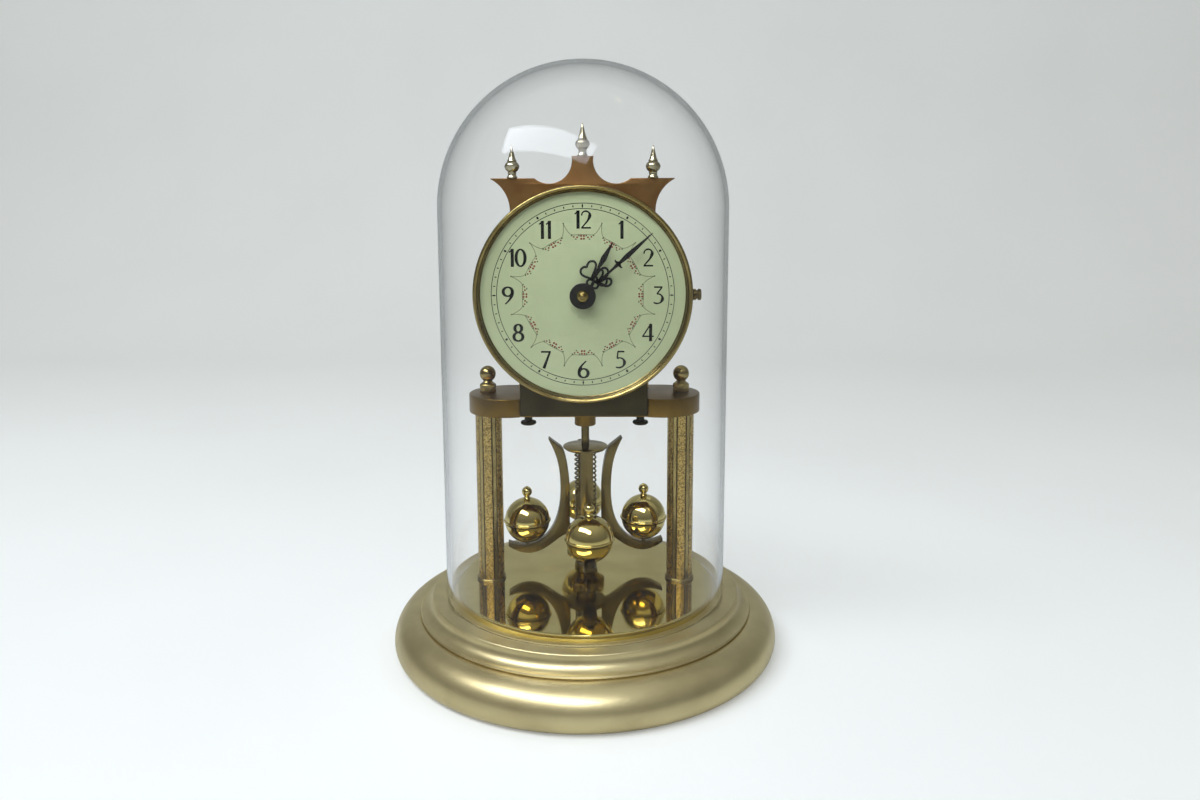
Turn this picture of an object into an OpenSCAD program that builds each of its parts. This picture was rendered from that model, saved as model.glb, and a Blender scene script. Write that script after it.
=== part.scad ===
// Torsion-pendulum clock under a glass dome.
// The clock stands on the XY plane, faces -Y, and its base is centred on the origin. Millimetres.

/* [Base] */
// Widest diameter of the spun base
base_d = 196.6; // [192:0.2:204]
// Height of the ledge that carries the dome
base_h = 28.5; // [27:0.5:32]
// Width of the ledge outside the dome
ledge_rim = 7.4; // [5:0.2:9]
// Sheet thickness of the spun base
base_wall = 1.5; // [1:0.1:2]
// Gap between the dome and the polished floor plate
floor_gap = 3.2; // [1:0.1:5]
// Thickness of the polished floor plate
floor_t = 3.5; // [3:0.1:5]
// Thickness of the board that closes the base
cover_t = 2; // [1.5:0.1:3]

/* [Dome] */
// Outside diameter of the glass dome
dome_d = 143; // [141:0.5:147]
// Wall of the glass dome
dome_wall = 2.2; // [1.8:0.1:2.8]
// Height of the glass dome
dome_h = 266; // [262:1:290]
// Depth of the ring groove that the dome stands in
dome_seat = 0.6; // [0.4:0.1:1]

/* [Pillars and platform] */
// Height of the pillars between floor and platform
pillar_h = 89.6; // [88:0.2:98]
// Diameter of a pillar
pillar_d = 13.5; // [12:0.1:13.8]
// Distance between the pillars
pillar_span = 98.4; // [98:0.2:102]
// Place of the pillars along Y, from the base centre
pillar_y = 0; // [-1:0.1:0.4]
// Number of groove pairs round a pillar
pillar_bands = 6; // [4:1:8]
// Diameter of the tie rods inside the pillars
tie_d = 5; // [4:0.1:6]
// Length of the platform
platform_l = 117.4; // [116:0.2:120]
// Depth of the platform
platform_w = 40; // [39.4:0.1:40.6]
// Thickness of the platform
platform_t = 9.1; // [7.5:0.1:11]
// Diameter of the ball nuts over the pillars
ball_nut_d = 8.2; // [7:0.1:9]

/* [Movement frame] */
// Thickness of the movement plates
plate_t = 2; // [1.6:0.1:2.4]
// Width of the front plate at the platform
apron_w = 62; // [60:0.5:64]
// Width of the front plate under the horns
shoulder_w = 68.8; // [66:0.2:72]
// Distance between the horn tips
horn_span = 86.6; // [82:0.2:90]
// Height of the horn tips over the platform
horn_h = 106.3; // [105:0.1:109]
// Height of the middle peak over the horns
peak_h = 10.3; // [8:0.1:12]
// Width of the middle peak
peak_w = 9.9; // [8:0.1:11]
// Width of the back plate
back_w = 66; // [65:0.5:70]
// Height of the back plate
back_h = 103; // [102:0.5:106]
// Distance between the plates
plate_gap = 25; // [24.8:0.1:25.6]
// Diameter of the distance bars between the plates
bar_d = 6.4; // [6:0.1:7]
// Height of a crown finial
finial_h = 15.2; // [13:0.2:18]

/* [Dial and hands] */
// Height of the dial centre over the platform
dial_h = 51.6; // [51:0.1:52]
// Outside diameter of the bezel
bezel_d = 103; // [100:0.5:104]
// Diameter of the dial that shows inside the bezel
sight_d = 96.4; // [92:0.2:97]
// Gap between front plate and dial
dial_gap = 6; // [5.6:0.1:7]
// Sheet thickness of the dial
dial_t = 1; // [0.6:0.1:1.2]
// Length of the minute hand
minute_l = 43.8; // [38:0.2:46]
// Length of the hour hand
hour_l = 28.7; // [25:0.1:32]
// Thickness of a hand
hand_t = 0.5; // [0.3:0.05:0.6]
// Minute hand, degrees after twelve
minute_angle = 48; // [40:1:60]
// Hour hand, degrees after twelve
hour_angle = 29.5; // [28:0.5:40]

/* [Pendulum] */
// Distance of the pendulum axis behind the base centre
pend_y = 16; // [15.6:0.1:17]
// Distance of a ball's centre from the axis
ball_orbit = 31.4; // [31:0.1:31.8]
// Diameter of a pendulum ball
ball_d = 24; // [22:0.1:24.4]
// Height of the ball centres over the floor plate
ball_h = 26.6; // [26.2:0.1:28]
// Width of a pendulum arm
arm_w = 6.5; // [5:0.1:7]
// Diameter of the regulating disc
disc_d = 23.8; // [22:0.1:24]
// Height of the regulating disc over the floor plate
disc_h = 65.7; // [65:0.1:66.5]
// Diameter of the hub disc that holds the arms
hub_d = 22; // [21:0.1:23]
// Height of the hub disc over the floor plate
hub_h = 18.8; // [18.2:0.1:19.4]
// Diameter of the pendulum rod
rod_d = 4.2; // [3.8:0.1:4.6]
// Turn of the pendulum at rest, in degrees
pend_angle = 4.5; // [0:0.5:10]
// Outside diameter of the coil spring under the disc
coil_d = 12; // [11.4:0.1:12.6]
// Wire diameter of the coil spring
coil_wire = 1; // [0.8:0.1:1.2]
// Turns of the coil spring
coil_turns = 18; // [12:1:18]

/* [Wheel train] */
// Thickness of a train wheel
wheel_t = 1.2; // [1:0.1:1.4]
// Diameter of a train arbor
arbor_d = 1.6; // [1.4:0.1:1.7]
// Leaves of every pinion
leaves = 12; // [12:1:12]
// Play between meshing teeth
backlash = 0.1; // [0.08:0.01:0.14]

/* [Clearances] */
// Radial clearance of a turning shaft
run_gap = 0.05; // [0.02:0.01:0.08]
// Clearance between neighbouring pieces that move
move_gap = 0.35; // [0.3:0.05:0.5]

/* [Hidden] */
$fn = 64;

// Levels, from the table up
floor_z = base_h + floor_t;
platform_z = floor_z + pillar_h;
deck_z = platform_z + platform_t;
dial_z = deck_z + dial_h;
horn_z = deck_z + horn_h;
peak_z = horn_z + peak_h;
disc_z = floor_z + disc_h;
hub_z = floor_z + hub_h;
ball_z = floor_z + ball_h;
dome_z = base_h - dome_seat;

// Depths, from the front of the clock to its back
front_y = pillar_y - platform_w / 2;
front_in = front_y + plate_t;
back_in = front_in + plate_gap;
back_y = back_in + plate_t;
dial_back = front_y - dial_gap;
dial_front = dial_back - dial_t;
hour_y = dial_front - 2.6;
minute_y = hour_y - 2;

brass = "goldenrod";
steel = "silver";
black = "#202020";

// Shared shapes

// Extrudes a drawing of the XZ plane along Y, from y0 to y1
module along_y(y0, y1) {
    translate([0, y1, 0]) rotate([90, 0, 0]) linear_extrude(y1 - y0) children();
}

// Round bar along Y
module bar_y(p, r, y0, y1) {
    translate([p[0], y1, p[1]]) rotate([90, 0, 0]) cylinder(r = r, h = y1 - y0);
}

// Turns a profile (radius, height in front of y0) about an axis along Y
module turned_y(p, y0) {
    translate([p[0], y0, p[1]]) rotate([90, 0, 0]) rotate_extrude() children();
}

// Points of an ellipse arc
function arc(c, a, b, t0, t1, n) = [for (i = [0:n]) let (t = t0 + (t1 - t0) * i / n)
    [c[0] + a * cos(t), c[1] + b * sin(t)]];

// Points of a cubic curve
function curve(p, n) = [for (i = [0:n]) let (t = i / n, s = 1 - t)
    s * s * s * p[0] + 3 * s * s * t * p[1] + 3 * s * t * t * p[2] + t * t * t * p[3]];

// The point at distance ra from a and rb from b, on the left of the way from a to b
function meet(a, ra, b, rb) =
    let (d = norm(b - a), u = (b - a) / d, k = (d * d + ra * ra - rb * rb) / (2 * d))
    a + k * u + sqrt(ra * ra - k * k) * [-u[1], u[0]];

function bearing(a, b) = atan2(b[1] - a[1], b[0] - a[0]);

// Gear teeth: involute flanks with a pressure angle that suits small pinions
pressure = 25;
addendum = 0.9;
dedendum = 1.25;
flank_steps = 2;
function pitch_r(n, m) = n * m / 2;
function involute(k) = sqrt(k * k - 1) * 180 / PI - acos(1 / k);
function half_tooth(n, m, r) = let (p = pitch_r(n, m), b = p * cos(pressure))
    90 / n - backlash / p * 45 / PI + involute(p / b) - involute(max(r, b) / b);
function tooth_radii(n, m) = let (p = pitch_r(n, m), low = max(p * cos(pressure), p - dedendum * m))
    [p - dedendum * m, for (i = [0:flank_steps]) low + (p + addendum * m - low) * i / flank_steps];
function gear_points(n, m) = let (radii = tooth_radii(n, m), k = len(radii)) [for (i = [0:n - 1]) each [
    for (j = [0:k - 1]) let (t = 360 * i / n - half_tooth(n, m, radii[j])) radii[j] * [cos(t), sin(t)],
    for (j = [k - 1:-1:0]) let (t = 360 * i / n + half_tooth(n, m, radii[j])) radii[j] * [cos(t), sin(t)]
]];
// Turn of gear 2 that meshes with gear 1, which is turned by t1 and lies at bearing b from it
function mesh_turn(t1, n1, n2, b) = b + 180 + 180 / n2 + (b - t1) * n1 / n2;

// Toothed wheel with crossings
spokes = 4;
spoke_w = 1.4;
rim_w = 2.2;
boss_r = 2.6;
module wheel(n, m) {
    open_r = pitch_r(n, m) - dedendum * m - rim_w;
    difference() {
        polygon(gear_points(n, m));
        difference() {
            circle(open_r);
            circle(boss_r);
            for (i = [0:spokes - 1]) rotate(360 * i / spokes)
                translate([0, -spoke_w / 2]) square([open_r + 1, spoke_w]);
        }
    }
}

// Toothed drawing placed at p, turned by t, extruded from y0 to y1. Its bearing is counted from +X towards +Z
module at(p, t, y0, y1) {
    along_y(y0, y1) translate(p) rotate(t) children();
}

// Base

base_r = base_d / 2;
ledge_r = dome_d / 2 + ledge_rim;
moulding = base_r - ledge_r;
tuck_w = moulding * 0.36;
tuck_h = base_h * 0.2456;
nose_w = moulding * 0.67;
nose_h = base_h * 0.456;
nose_top = tuck_h + nose_h;
foot_r = base_r - tuck_w;
nose_in = base_r - nose_w;
cove_r = nose_in - 0.7;
cove_low = nose_top + 1.5;
cove_top = base_h - 0.7;
groove_depth = 0.8;

// Outline of the spun base: rounded foot, broad round nose, fine groove, cove and ledge
function base_outline() = concat(
    [[0, 0]],
    arc([foot_r, tuck_h], tuck_w, tuck_h, -90, 0, 8),
    arc([nose_in, tuck_h], nose_w, nose_h, 0, 90, 16),
    [[cove_r, nose_top - groove_depth], [nose_in - 0.3, nose_top + 0.7], [cove_r, cove_low]],
    arc([cove_r, cove_top], ledge_r - cove_r, cove_low - cove_top, 90, 0, 10),
    [[ledge_r, base_h], [0, base_h]]
);

// Hollow of the spun base, one sheet thickness inside its outline
function base_hollow() = let (w = base_wall, deep = nose_top - groove_depth - w) concat(
    [[0, -1], [foot_r - w, -1]],
    arc([foot_r, tuck_h], tuck_w - w, tuck_h - w, -90, 0, 8),
    arc([nose_in, tuck_h], nose_w - w, nose_h - w, 0, 76, 14),
    [[cove_r - w, deep], [cove_r - w, cove_low - w]],
    arc([cove_r, cove_top], ledge_r - cove_r - w, cove_low - cove_top - w, 74, 12, 8),
    [[ledge_r - w, base_h - w], [0, base_h - w]]
);

seat_gap = 0.6;
module dome_seat_ring() {
    translate([dome_d / 2 - dome_wall - seat_gap, dome_z]) square([dome_wall + 2 * seat_gap, dome_seat + 1]);
}

module at_pillars() {
    for (side = [-1, 1]) translate([side * pillar_span / 2, pillar_y, 0]) children();
}

hole_gap = 0.1;
module base_shell() {
    color("darkkhaki") difference() {
        rotate_extrude($fn = 120) difference() {
            polygon(base_outline());
            polygon(base_hollow());
            dome_seat_ring();
        }
        at_pillars() cylinder(d = tie_d + 2 * hole_gap, h = base_h + 1);
    }
}

cover_gap = 0.15;
module base_cover() {
    color("darkgreen") cylinder(r = foot_r - base_wall - cover_gap, h = cover_t, $fn = 120);
}

floor_edge = 0.6;
floor_r = dome_d / 2 - dome_wall - floor_gap;
module floor_plate() {
    color("gold") difference() {
        translate([0, 0, base_h]) rotate_extrude($fn = 120) polygon(concat(
            [[0, 0], [floor_r, 0]],
            arc([floor_r - floor_edge, floor_t - floor_edge], floor_edge, floor_edge, 0, 90, 4),
            [[0, floor_t]]
        ));
        at_pillars() cylinder(d = tie_d + 2 * hole_gap, h = floor_z + 1);
    }
}

cup_r = 6;
cup_h = 2.2;
cup_bore = 3.4;
module guide_cup() {
    color(brass) translate([0, pend_y, floor_z]) difference() {
        cylinder(r = cup_r, h = cup_h);
        translate([0, 0, 0.4]) cylinder(r = cup_bore, h = cup_h);
    }
}

module glass_dome() {
    r = dome_d / 2;
    straight = dome_h - r;
    rim = dome_wall / 4;
    color("lightcyan", 0.3) translate([0, 0, dome_z]) rotate_extrude($fn = 120) polygon(concat(
        [[r - dome_wall + rim, 0], [r - rim, 0], [r, rim]],
        arc([0, straight], r, r, 0, 90, 32),
        arc([0, straight], r - dome_wall, r - dome_wall, 90, 0, 32),
        [[r - dome_wall, rim]]
    ));
}

// Pillars and platform

flute_r = 0.45;
flute_pair = 12;
module pillar() {
    color(brass) translate([0, 0, floor_z]) difference() {
        cylinder(d = pillar_d, h = pillar_h);
        translate([0, 0, -1]) cylinder(d = tie_d + 2 * hole_gap, h = pillar_h + 2);
        for (i = [0:pillar_bands - 1], s = [-1, 1]) rotate(360 * i / pillar_bands + s * flute_pair)
            translate([pillar_d / 2 + flute_r / 3, 0, -1]) cylinder(r = flute_r, h = pillar_h + 2, $fn = 16);
    }
}
module pillar_left() { translate([-pillar_span / 2, pillar_y, 0]) pillar(); }
module pillar_right() { translate([pillar_span / 2, pillar_y, 0]) pillar(); }

ring_gap = 0.05;
ring_t = 0.75;
ring_h = 2.4;
module pillar_foot_rings() {
    color(brass) at_pillars() translate([0, 0, floor_z]) rotate_extrude() polygon(concat(
        [[pillar_d / 2 + ring_gap, 0]],
        arc([pillar_d / 2 + ring_gap, ring_h / 2], ring_t, ring_h / 2, -90, 90, 8),
        [[pillar_d / 2 + ring_gap, ring_h]]
    ));
}

nut_h = 4;
tie_below = 6;
tie_above = 3.8;
module tie_rods() {
    bottom = base_h - base_wall - tie_below;
    color(steel) at_pillars() translate([0, 0, bottom]) cylinder(d = tie_d, h = deck_z + tie_above - bottom);
}
module tie_nuts() {
    color(steel) at_pillars() translate([0, 0, base_h - base_wall - nut_h]) difference() {
        cylinder(d = tie_d * 2, h = nut_h, $fn = 6);
        translate([0, 0, -1]) cylinder(d = tie_d + hole_gap, h = nut_h + 2);
    }
}

thumb_x = apron_w / 2 - 2.7;
thumb_y = pillar_y - 5;
thumb_d = 3.2;
guide_r = 5.6;
ear_r = guide_r + 1.2;
guide_bore = 3;
module at_thumbs() {
    for (side = [-1, 1]) translate([side * thumb_x, thumb_y, 0]) children();
}
module platform() {
    end_x = (platform_l - platform_w) / 2;
    color("peru") difference() {
        translate([0, 0, platform_z]) linear_extrude(platform_t) difference() {
            union() {
                translate([-end_x, pillar_y - platform_w / 2]) square([2 * end_x, platform_w]);
                for (side = [-1, 1]) translate([side * end_x, pillar_y]) circle(d = platform_w);
                translate([0, pend_y]) circle(ear_r);
            }
            translate([-apron_w / 2 - hole_gap, front_y - 1]) square([apron_w + 2 * hole_gap, plate_t + 1]);
            translate([0, pend_y]) circle(guide_bore);
        }
        at_pillars() cylinder(d = tie_d + 2 * hole_gap, h = deck_z + 1);
        at_thumbs() cylinder(d = thumb_d + 2 * hole_gap, h = deck_z + 1);
    }
}

ball_nut_foot = 4.6;
ball_nut_neck = 3;
module ball_nuts() {
    r = ball_nut_d / 2;
    color(brass) at_pillars() translate([0, 0, deck_z]) difference() {
        rotate_extrude() polygon(concat(
            [[0, 0], [r - 0.3, 0], [r, 0.3], [r, 1.6], [r - 0.4, 2], [r, 2.4], [r, ball_nut_foot - 0.5]],
            [[r - 0.5, ball_nut_foot], [ball_nut_neck, ball_nut_foot + 0.5]],
            arc([0, ball_nut_foot + r * 1.2], r, r, -55, 90, 16)
        ));
        translate([0, 0, -1]) cylinder(d = tie_d + 2 * hole_gap, h = tie_above + 1.3);
    }
}

thumb_head_r = 3.9;
thumb_head_t = 2;
thumb_neck = 4.6;
bar_z = deck_z + 7;
module thumb_screws() {
    color(brass) at_thumbs() translate([0, 0, platform_z - thumb_neck]) {
        translate([0, 0, -thumb_head_t]) rotate_extrude() polygon([
            [0, 0], [thumb_head_r - 0.8, 0], [thumb_head_r, 0.8], [thumb_head_r, thumb_head_t - 0.4],
            [thumb_head_r - 0.4, thumb_head_t], [0, thumb_head_t]
        ]);
        cylinder(d = thumb_d, h = bar_z - platform_z + thumb_neck);
        cylinder(d = thumb_d + 0.8, h = thumb_neck);
    }
}

guide_l = 11.6;
module guide_tube() {
    color(brass) translate([0, pend_y, platform_z - guide_l]) difference() {
        cylinder(r = guide_r, h = guide_l);
        translate([0, 0, -1]) cylinder(r = guide_bore, h = guide_l + 2);
    }
}

// Movement frame

bar_drop = 12;
bar_top = deck_z + back_h - bar_drop;
bar_spots = [[-thumb_x, bar_z], [thumb_x, bar_z], [-thumb_x, bar_top], [thumb_x, bar_top]];
arbor_r = arbor_d / 2;
barrel_n = 96;
barrel_m = 0.42;
second_n = 72;
second_m = 0.36;
third_n = 72;
third_m = 0.32;
centre_n = 48;
fourth_n = 36;
fine_m = 0.36;
motion_n = 36;
hour_n = 48;
centre_p = [0, dial_z];
barrel_side = 6;
barrel_down = 26.8;
barrel_p = [-barrel_side, dial_z - barrel_down];
second_p = barrel_p + (pitch_r(barrel_n, barrel_m) + pitch_r(leaves, barrel_m)) * [cos(15), sin(15)];
third_p = meet(centre_p, pitch_r(third_n, third_m) + pitch_r(leaves, third_m),
    second_p, pitch_r(second_n, second_m) + pitch_r(leaves, second_m));
escape_up = 17;
escape_p = [0, dial_z + escape_up];
fourth_p = meet(centre_p, pitch_r(centre_n, fine_m) + pitch_r(leaves, fine_m),
    escape_p, pitch_r(fourth_n, fine_m) + pitch_r(leaves, fine_m));
anchor_up = 10.6;
anchor_p = escape_p + [0, anchor_up];
motion_d = pitch_r(motion_n, fine_m) + pitch_r(leaves, fine_m);
motion_p = centre_p + motion_d * [cos(150), sin(150)];
hour_m = 2 * motion_d / (hour_n + leaves);
barrel_bore = 2.5;
centre_r = 1;
stud_r = 0.8;
rivet_r = 1.6;
rivet_depth = 1.2;
post_spots = [centre_p + [-26, -16], centre_p + [26, -16], centre_p + [0, 38]];
post_r = 1.5;

module pivot_holes(y0, y1) {
    for (p = [second_p, third_p, fourth_p, escape_p]) bar_y(p, arbor_r + run_gap, y0 - 1, y1 + 1);
    bar_y(centre_p, centre_r + run_gap, y0 - 1, y1 + 1);
    bar_y(anchor_p, arbor_r + run_gap, y0 - 1, y1 + 1);
    bar_y(barrel_p, barrel_bore + run_gap, y0 - 1, y1 + 1);
}

apron_gap = 1;
scallop_x = 15.8;
scallop_r = 10.8;
horn_in = 16;
horn_drop = 15.3;
horn_edge = 0.4;
module front_plate() {
    half_a = apron_w / 2;
    half_s = shoulder_w / 2;
    half_h = horn_span / 2;
    waist_z = deck_z + 18;
    open = acos((half_s + horn_in - half_h) / horn_in);
    rise = (horn_drop - horn_edge) / sin(open);
    side = concat(
        [[half_a, platform_z + apron_gap], [half_a, waist_z], [half_s, waist_z + 12]],
        arc([half_s + horn_in, horn_z - horn_drop], horn_in, rise, 180, 180 - open, 10),
        [[half_h, horn_z], [scallop_x, horn_z], [scallop_x, peak_z]]
    );
    other = [for (i = [len(side) - 1:-1:0]) [-side[i][0], side[i][1]]];
    color("saddlebrown") {
        difference() {
            along_y(front_y, front_in) difference() {
                polygon(concat(side, other));
                for (s = [-1, 1]) translate([s * scallop_x, peak_z - 2]) circle(scallop_r);
            }
            pivot_holes(front_y, front_in);
            for (p = bar_spots) bar_y(p, rivet_r, front_in - rivet_depth, front_in + 1);
        }
        bar_y(motion_p, stud_r, front_y - dial_gap + 0.6, front_y);
    }
}

screw_r = 1.3;
screw_l = 7.5;
screw_end = 0.5;
back_corner = 4;
module back_plate() {
    half = back_w / 2 - back_corner;
    color("peru") difference() {
        along_y(back_in, back_y) union() {
            translate([-back_w / 2, deck_z]) square([back_w, back_h - back_corner]);
            translate([-half, deck_z]) square([2 * half, back_h]);
            for (s = [-1, 1]) translate([s * half, deck_z + back_h - back_corner]) circle(back_corner);
        }
        pivot_holes(back_in, back_y);
        for (p = bar_spots) bar_y(p, screw_r + hole_gap, back_in - 1, back_y + 1);
        bar_y(click_p, screw_r, back_in + 0.8, back_y + 1);
    }
}

module distance_bars() {
    color(brass) difference() {
        for (p = bar_spots) {
            bar_y(p, bar_d / 2, front_in, back_in);
            bar_y(p, rivet_r, front_in - rivet_depth, front_in + 0.5);
        }
        for (p = bar_spots) bar_y(p, screw_r, back_in - screw_l - screw_end, back_in + 1);
        at_thumbs() translate([0, 0, deck_z]) cylinder(d = thumb_d, h = bar_z - deck_z);
    }
}

screw_head_r = 2.8;
screw_head_t = 1.6;
module back_plate_screws() {
    color(steel) for (p = bar_spots) difference() {
        union() {
            bar_y(p, screw_r, back_in - screw_l, back_y + 0.5);
            bar_y(p, screw_head_r, back_y, back_y + screw_head_t);
        }
        translate([p[0] - screw_head_r - 1, back_y + screw_head_t - 0.7, p[1] - 0.3])
            cube([2 * screw_head_r + 2, 1, 0.6]);
    }
}

finial_x = 33.2;
finial_r = 3.4;
module finial() {
    h = finial_h;
    rotate_extrude($fn = 48) polygon(concat(
        [[0, 0], [2.4, 0], [2.5, 0.5], [2.1, 1.1], [1.9, 1.9], [2.1, 2.7]],
        arc([0, 5.4], finial_r, 2.9, -60, -8, 6),
        [[finial_r + 0.1, 5.3], [finial_r + 0.1, 5.8]],
        arc([0, 5.6], finial_r, 2.6, 8, 40, 4),
        [[2.1, 7.7], [2.2, 8.2], [1.8, 8.8], [0.25, h - 0.3], [0, h]]
    ));
}
module crown_finials() {
    mid = (front_y + front_in) / 2;
    color("silver") {
        for (s = [-1, 1]) translate([s * finial_x, mid, horn_z]) finial();
        translate([0, mid, peak_z]) finial();
    }
}

// Dial, bezel and hands

bezel_r = bezel_d / 2;
pan_r = bezel_r - 1.8;
pan_wall = 0.8;
pan_depth = 3.5;
dial_hole = 3;
module dial() {
    color("beige") {
        along_y(dial_front, dial_back) translate(centre_p) difference() {
            circle(pan_r, $fn = 120);
            circle(dial_hole);
        }
        along_y(dial_back, dial_back + pan_depth) translate(centre_p) difference() {
            circle(pan_r, $fn = 120);
            circle(pan_r - pan_wall, $fn = 120);
        }
    }
}
module dial_posts() {
    color(brass) for (p = post_spots) bar_y(p, post_r, dial_back, front_y);
}

bezel_rise = 3.4;
bezel_back = 0.4;
skirt_gap = 0.1;
screw_hole_r = 1.2;
bezel_mid = (dial_back + front_y) / 2 - 0.6;
module bezel() {
    depth = front_y - dial_front - bezel_back;
    bead = 1;
    color(brass) difference() {
        turned_y(centre_p, front_y - bezel_back) polygon(concat(
            [[pan_r + skirt_gap, 0], [bezel_r - 0.7, 0], [bezel_r - 0.7, depth + bezel_rise - 2.6]],
            arc([bezel_r - bead, depth + bezel_rise - bead - 0.6], bead, bead * 1.4, -40, 150, 14),
            [[bezel_r - 2.1, depth + bezel_rise - 1.1]],
            [[sight_d / 2, depth + 0.3], [sight_d / 2, depth], [pan_r + skirt_gap, depth]]
        ), $fn = 120);
        translate([bezel_r - 4, bezel_mid, dial_z]) rotate([0, 90, 0])
            cylinder(r = screw_hole_r + hole_gap, h = 8);
    }
}

knob_r = 2.7;
knob_l = 4.4;
module bezel_screw() {
    color(brass) translate([pan_r + 0.05, bezel_mid, dial_z]) rotate([0, 90, 0]) rotate_extrude() polygon([
        [0, 0], [screw_hole_r, 0], [screw_hole_r, 1.6], [1.7, 1.6], [1.7, 2.2],
        [knob_r, 2.3], [knob_r, 3.6], [knob_r - 0.6, 3.9], [knob_r - 0.6, 4.3], [knob_r, 4.6],
        [knob_r, 1.6 + knob_l - 0.4], [knob_r - 0.5, 1.6 + knob_l], [0, 1.6 + knob_l]
    ]);
}

// Lance-shaped blade along +Y of the drawing
module blade(from, widest, to, half) {
    polygon([[half * 0.35, from], [half, widest], [0.12, to - 0.2], [0, to], [-0.12, to - 0.2],
        [-half, widest], [-half * 0.35, from]]);
}

cannon_r = 1.5;
pipe_r = 2.5;
wire_w = 0.8;
// Outline of a petal: a round end at c that narrows to its tip
function petal(c, r, tip) = let (
        way = tip - c,
        open = acos(r / norm(way)),
        t = atan2(way[1], way[0])
    ) concat([tip], arc(c, r, r, t + open, t + 360 - open, 20));
function other_side(p) = [for (i = [len(p) - 1:-1:0]) [-p[i][0], p[i][1]]];
// Petals on both sides of a hand, as [distance from the shaft, distance from the hub, radius], and their tip
module petals(list, tip, grow) {
    for (e = list) {
        outline = petal([e[0], e[1]], e[2] + grow, [tip[0], tip[1] - 2 * grow]);
        polygon(outline);
        polygon(other_side(outline));
    }
}

hour_petals = [[2.7, 13.8, 2], [4.2, 10.6, 1.9]];
hour_tip = [0.5, 8.6];
hand_eye = 7.1;
hand_eye_r = 1.5;
module hour_hand() {
    color(black) at(centre_p, -hour_angle, hour_y - hand_t, hour_y) difference() {
        union() {
            circle(4.6);
            translate([-0.9, pipe_r + 1]) square([1.8, hand_eye - hand_eye_r - pipe_r - 1]);
            translate([0, hand_eye]) circle(hand_eye_r + wire_w / 2);
            petals(hour_petals, hour_tip, wire_w / 2);
            translate([-0.6, hand_eye + hand_eye_r]) square([1.2, 9]);
            blade(14.5, 20, hour_l, 1.3);
        }
        translate([0, hand_eye]) circle(hand_eye_r - wire_w / 2);
        difference() {
            petals(hour_petals, hour_tip, -wire_w / 2);
            translate([-0.6, hand_eye]) square([1.2, 14]);
        }
        circle(pipe_r);
    }
}

minute_petals = [[2.3, 12.6, 1.7]];
minute_tip = [0.45, 8.6];
cross_at = 22.4;
minute_washer_r = 6.1;
shaft_w = 1.1;
module minute_hand() {
    shaft_l = cross_at - hand_eye + hand_eye_r;
    color(black) at(centre_p, -minute_angle, minute_y - hand_t, minute_y) difference() {
        union() {
            circle(minute_washer_r);
            translate([0, hand_eye + 0.6]) circle(hand_eye_r + wire_w / 2);
            petals(minute_petals, minute_tip, wire_w / 2);
            translate([-shaft_w / 2, hand_eye + hand_eye_r]) square([shaft_w, shaft_l]);
            translate([0, cross_at]) polygon([
                [0.7, 1.2], [-0.7, 1.2], [-2.5, 0.3], [-2.2, -0.6], [-0.6, -0.9],
                [0, -2.6], [0.6, -0.9], [2.2, -0.6], [2.5, 0.3]
            ]);
            blade(cross_at - 0.4, cross_at + 5.6, minute_l, 1);
        }
        translate([0, hand_eye + 0.6]) circle(hand_eye_r - wire_w / 2);
        difference() {
            petals(minute_petals, minute_tip, -wire_w / 2);
            translate([-shaft_w / 2, hand_eye]) square([shaft_w, shaft_l]);
        }
        circle(cannon_r);
    }
}

nut_r = 2.6;
nut_l = 2.8;
module hand_nut() {
    color(brass) difference() {
        turned_y(centre_p, minute_y - hand_t) polygon(concat(
            [[0, 0], [nut_r, 0], [nut_r, 1]],
            arc([0, 1], nut_r, nut_l - 1, 0, 90, 10)
        ));
        bar_y(centre_p, cannon_r, minute_y - hand_t - 1.2, minute_y);
    }
}

// Wheel train. Every wheel has its pinion and its arbor, and turns in both plates

module arbor(p, r) {
    bar_y(p, r, front_y, back_y);
}
module pinion(p, t, m, y0, y1) {
    at(p, t, y0, y1) polygon(gear_points(leaves, m));
}

great_y = front_in + 15;
second_y = front_in + 19.5;
third_y = front_in + 22.5;
centre_y = front_in + 8;
fourth_y = front_in + 12.4;
escape_y = front_in + 17.5;
overhang = 0.9;

second_t = mesh_turn(0, barrel_n, leaves, bearing(barrel_p, second_p));
third_t = mesh_turn(second_t, second_n, leaves, bearing(second_p, third_p));
centre_t = mesh_turn(third_t, third_n, leaves, bearing(third_p, centre_p));
fourth_t = mesh_turn(centre_t, centre_n, leaves, bearing(centre_p, fourth_p));
escape_t = mesh_turn(fourth_t, fourth_n, leaves, bearing(fourth_p, escape_p));
motion_t = mesh_turn(centre_t, leaves, motion_n, bearing(centre_p, motion_p));
hour_t = mesh_turn(motion_t, leaves, hour_n, bearing(motion_p, centre_p));

drum_r = 17.6;
drum_wall = 1.2;
drum_l = 13;
module mainspring_barrel() {
    color(brass) difference() {
        union() {
            bar_y(barrel_p, drum_r, great_y - drum_l, great_y);
            at(barrel_p, 0, great_y, great_y + 1.5) polygon(gear_points(barrel_n, barrel_m));
            bar_y(barrel_p, 4.4, great_y + 1, great_y + 3);
        }
        bar_y(barrel_p, barrel_bore + run_gap, front_y, back_y);
        bar_y(barrel_p, drum_r - drum_wall, great_y - drum_l + drum_wall, great_y - drum_wall);
    }
}

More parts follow.
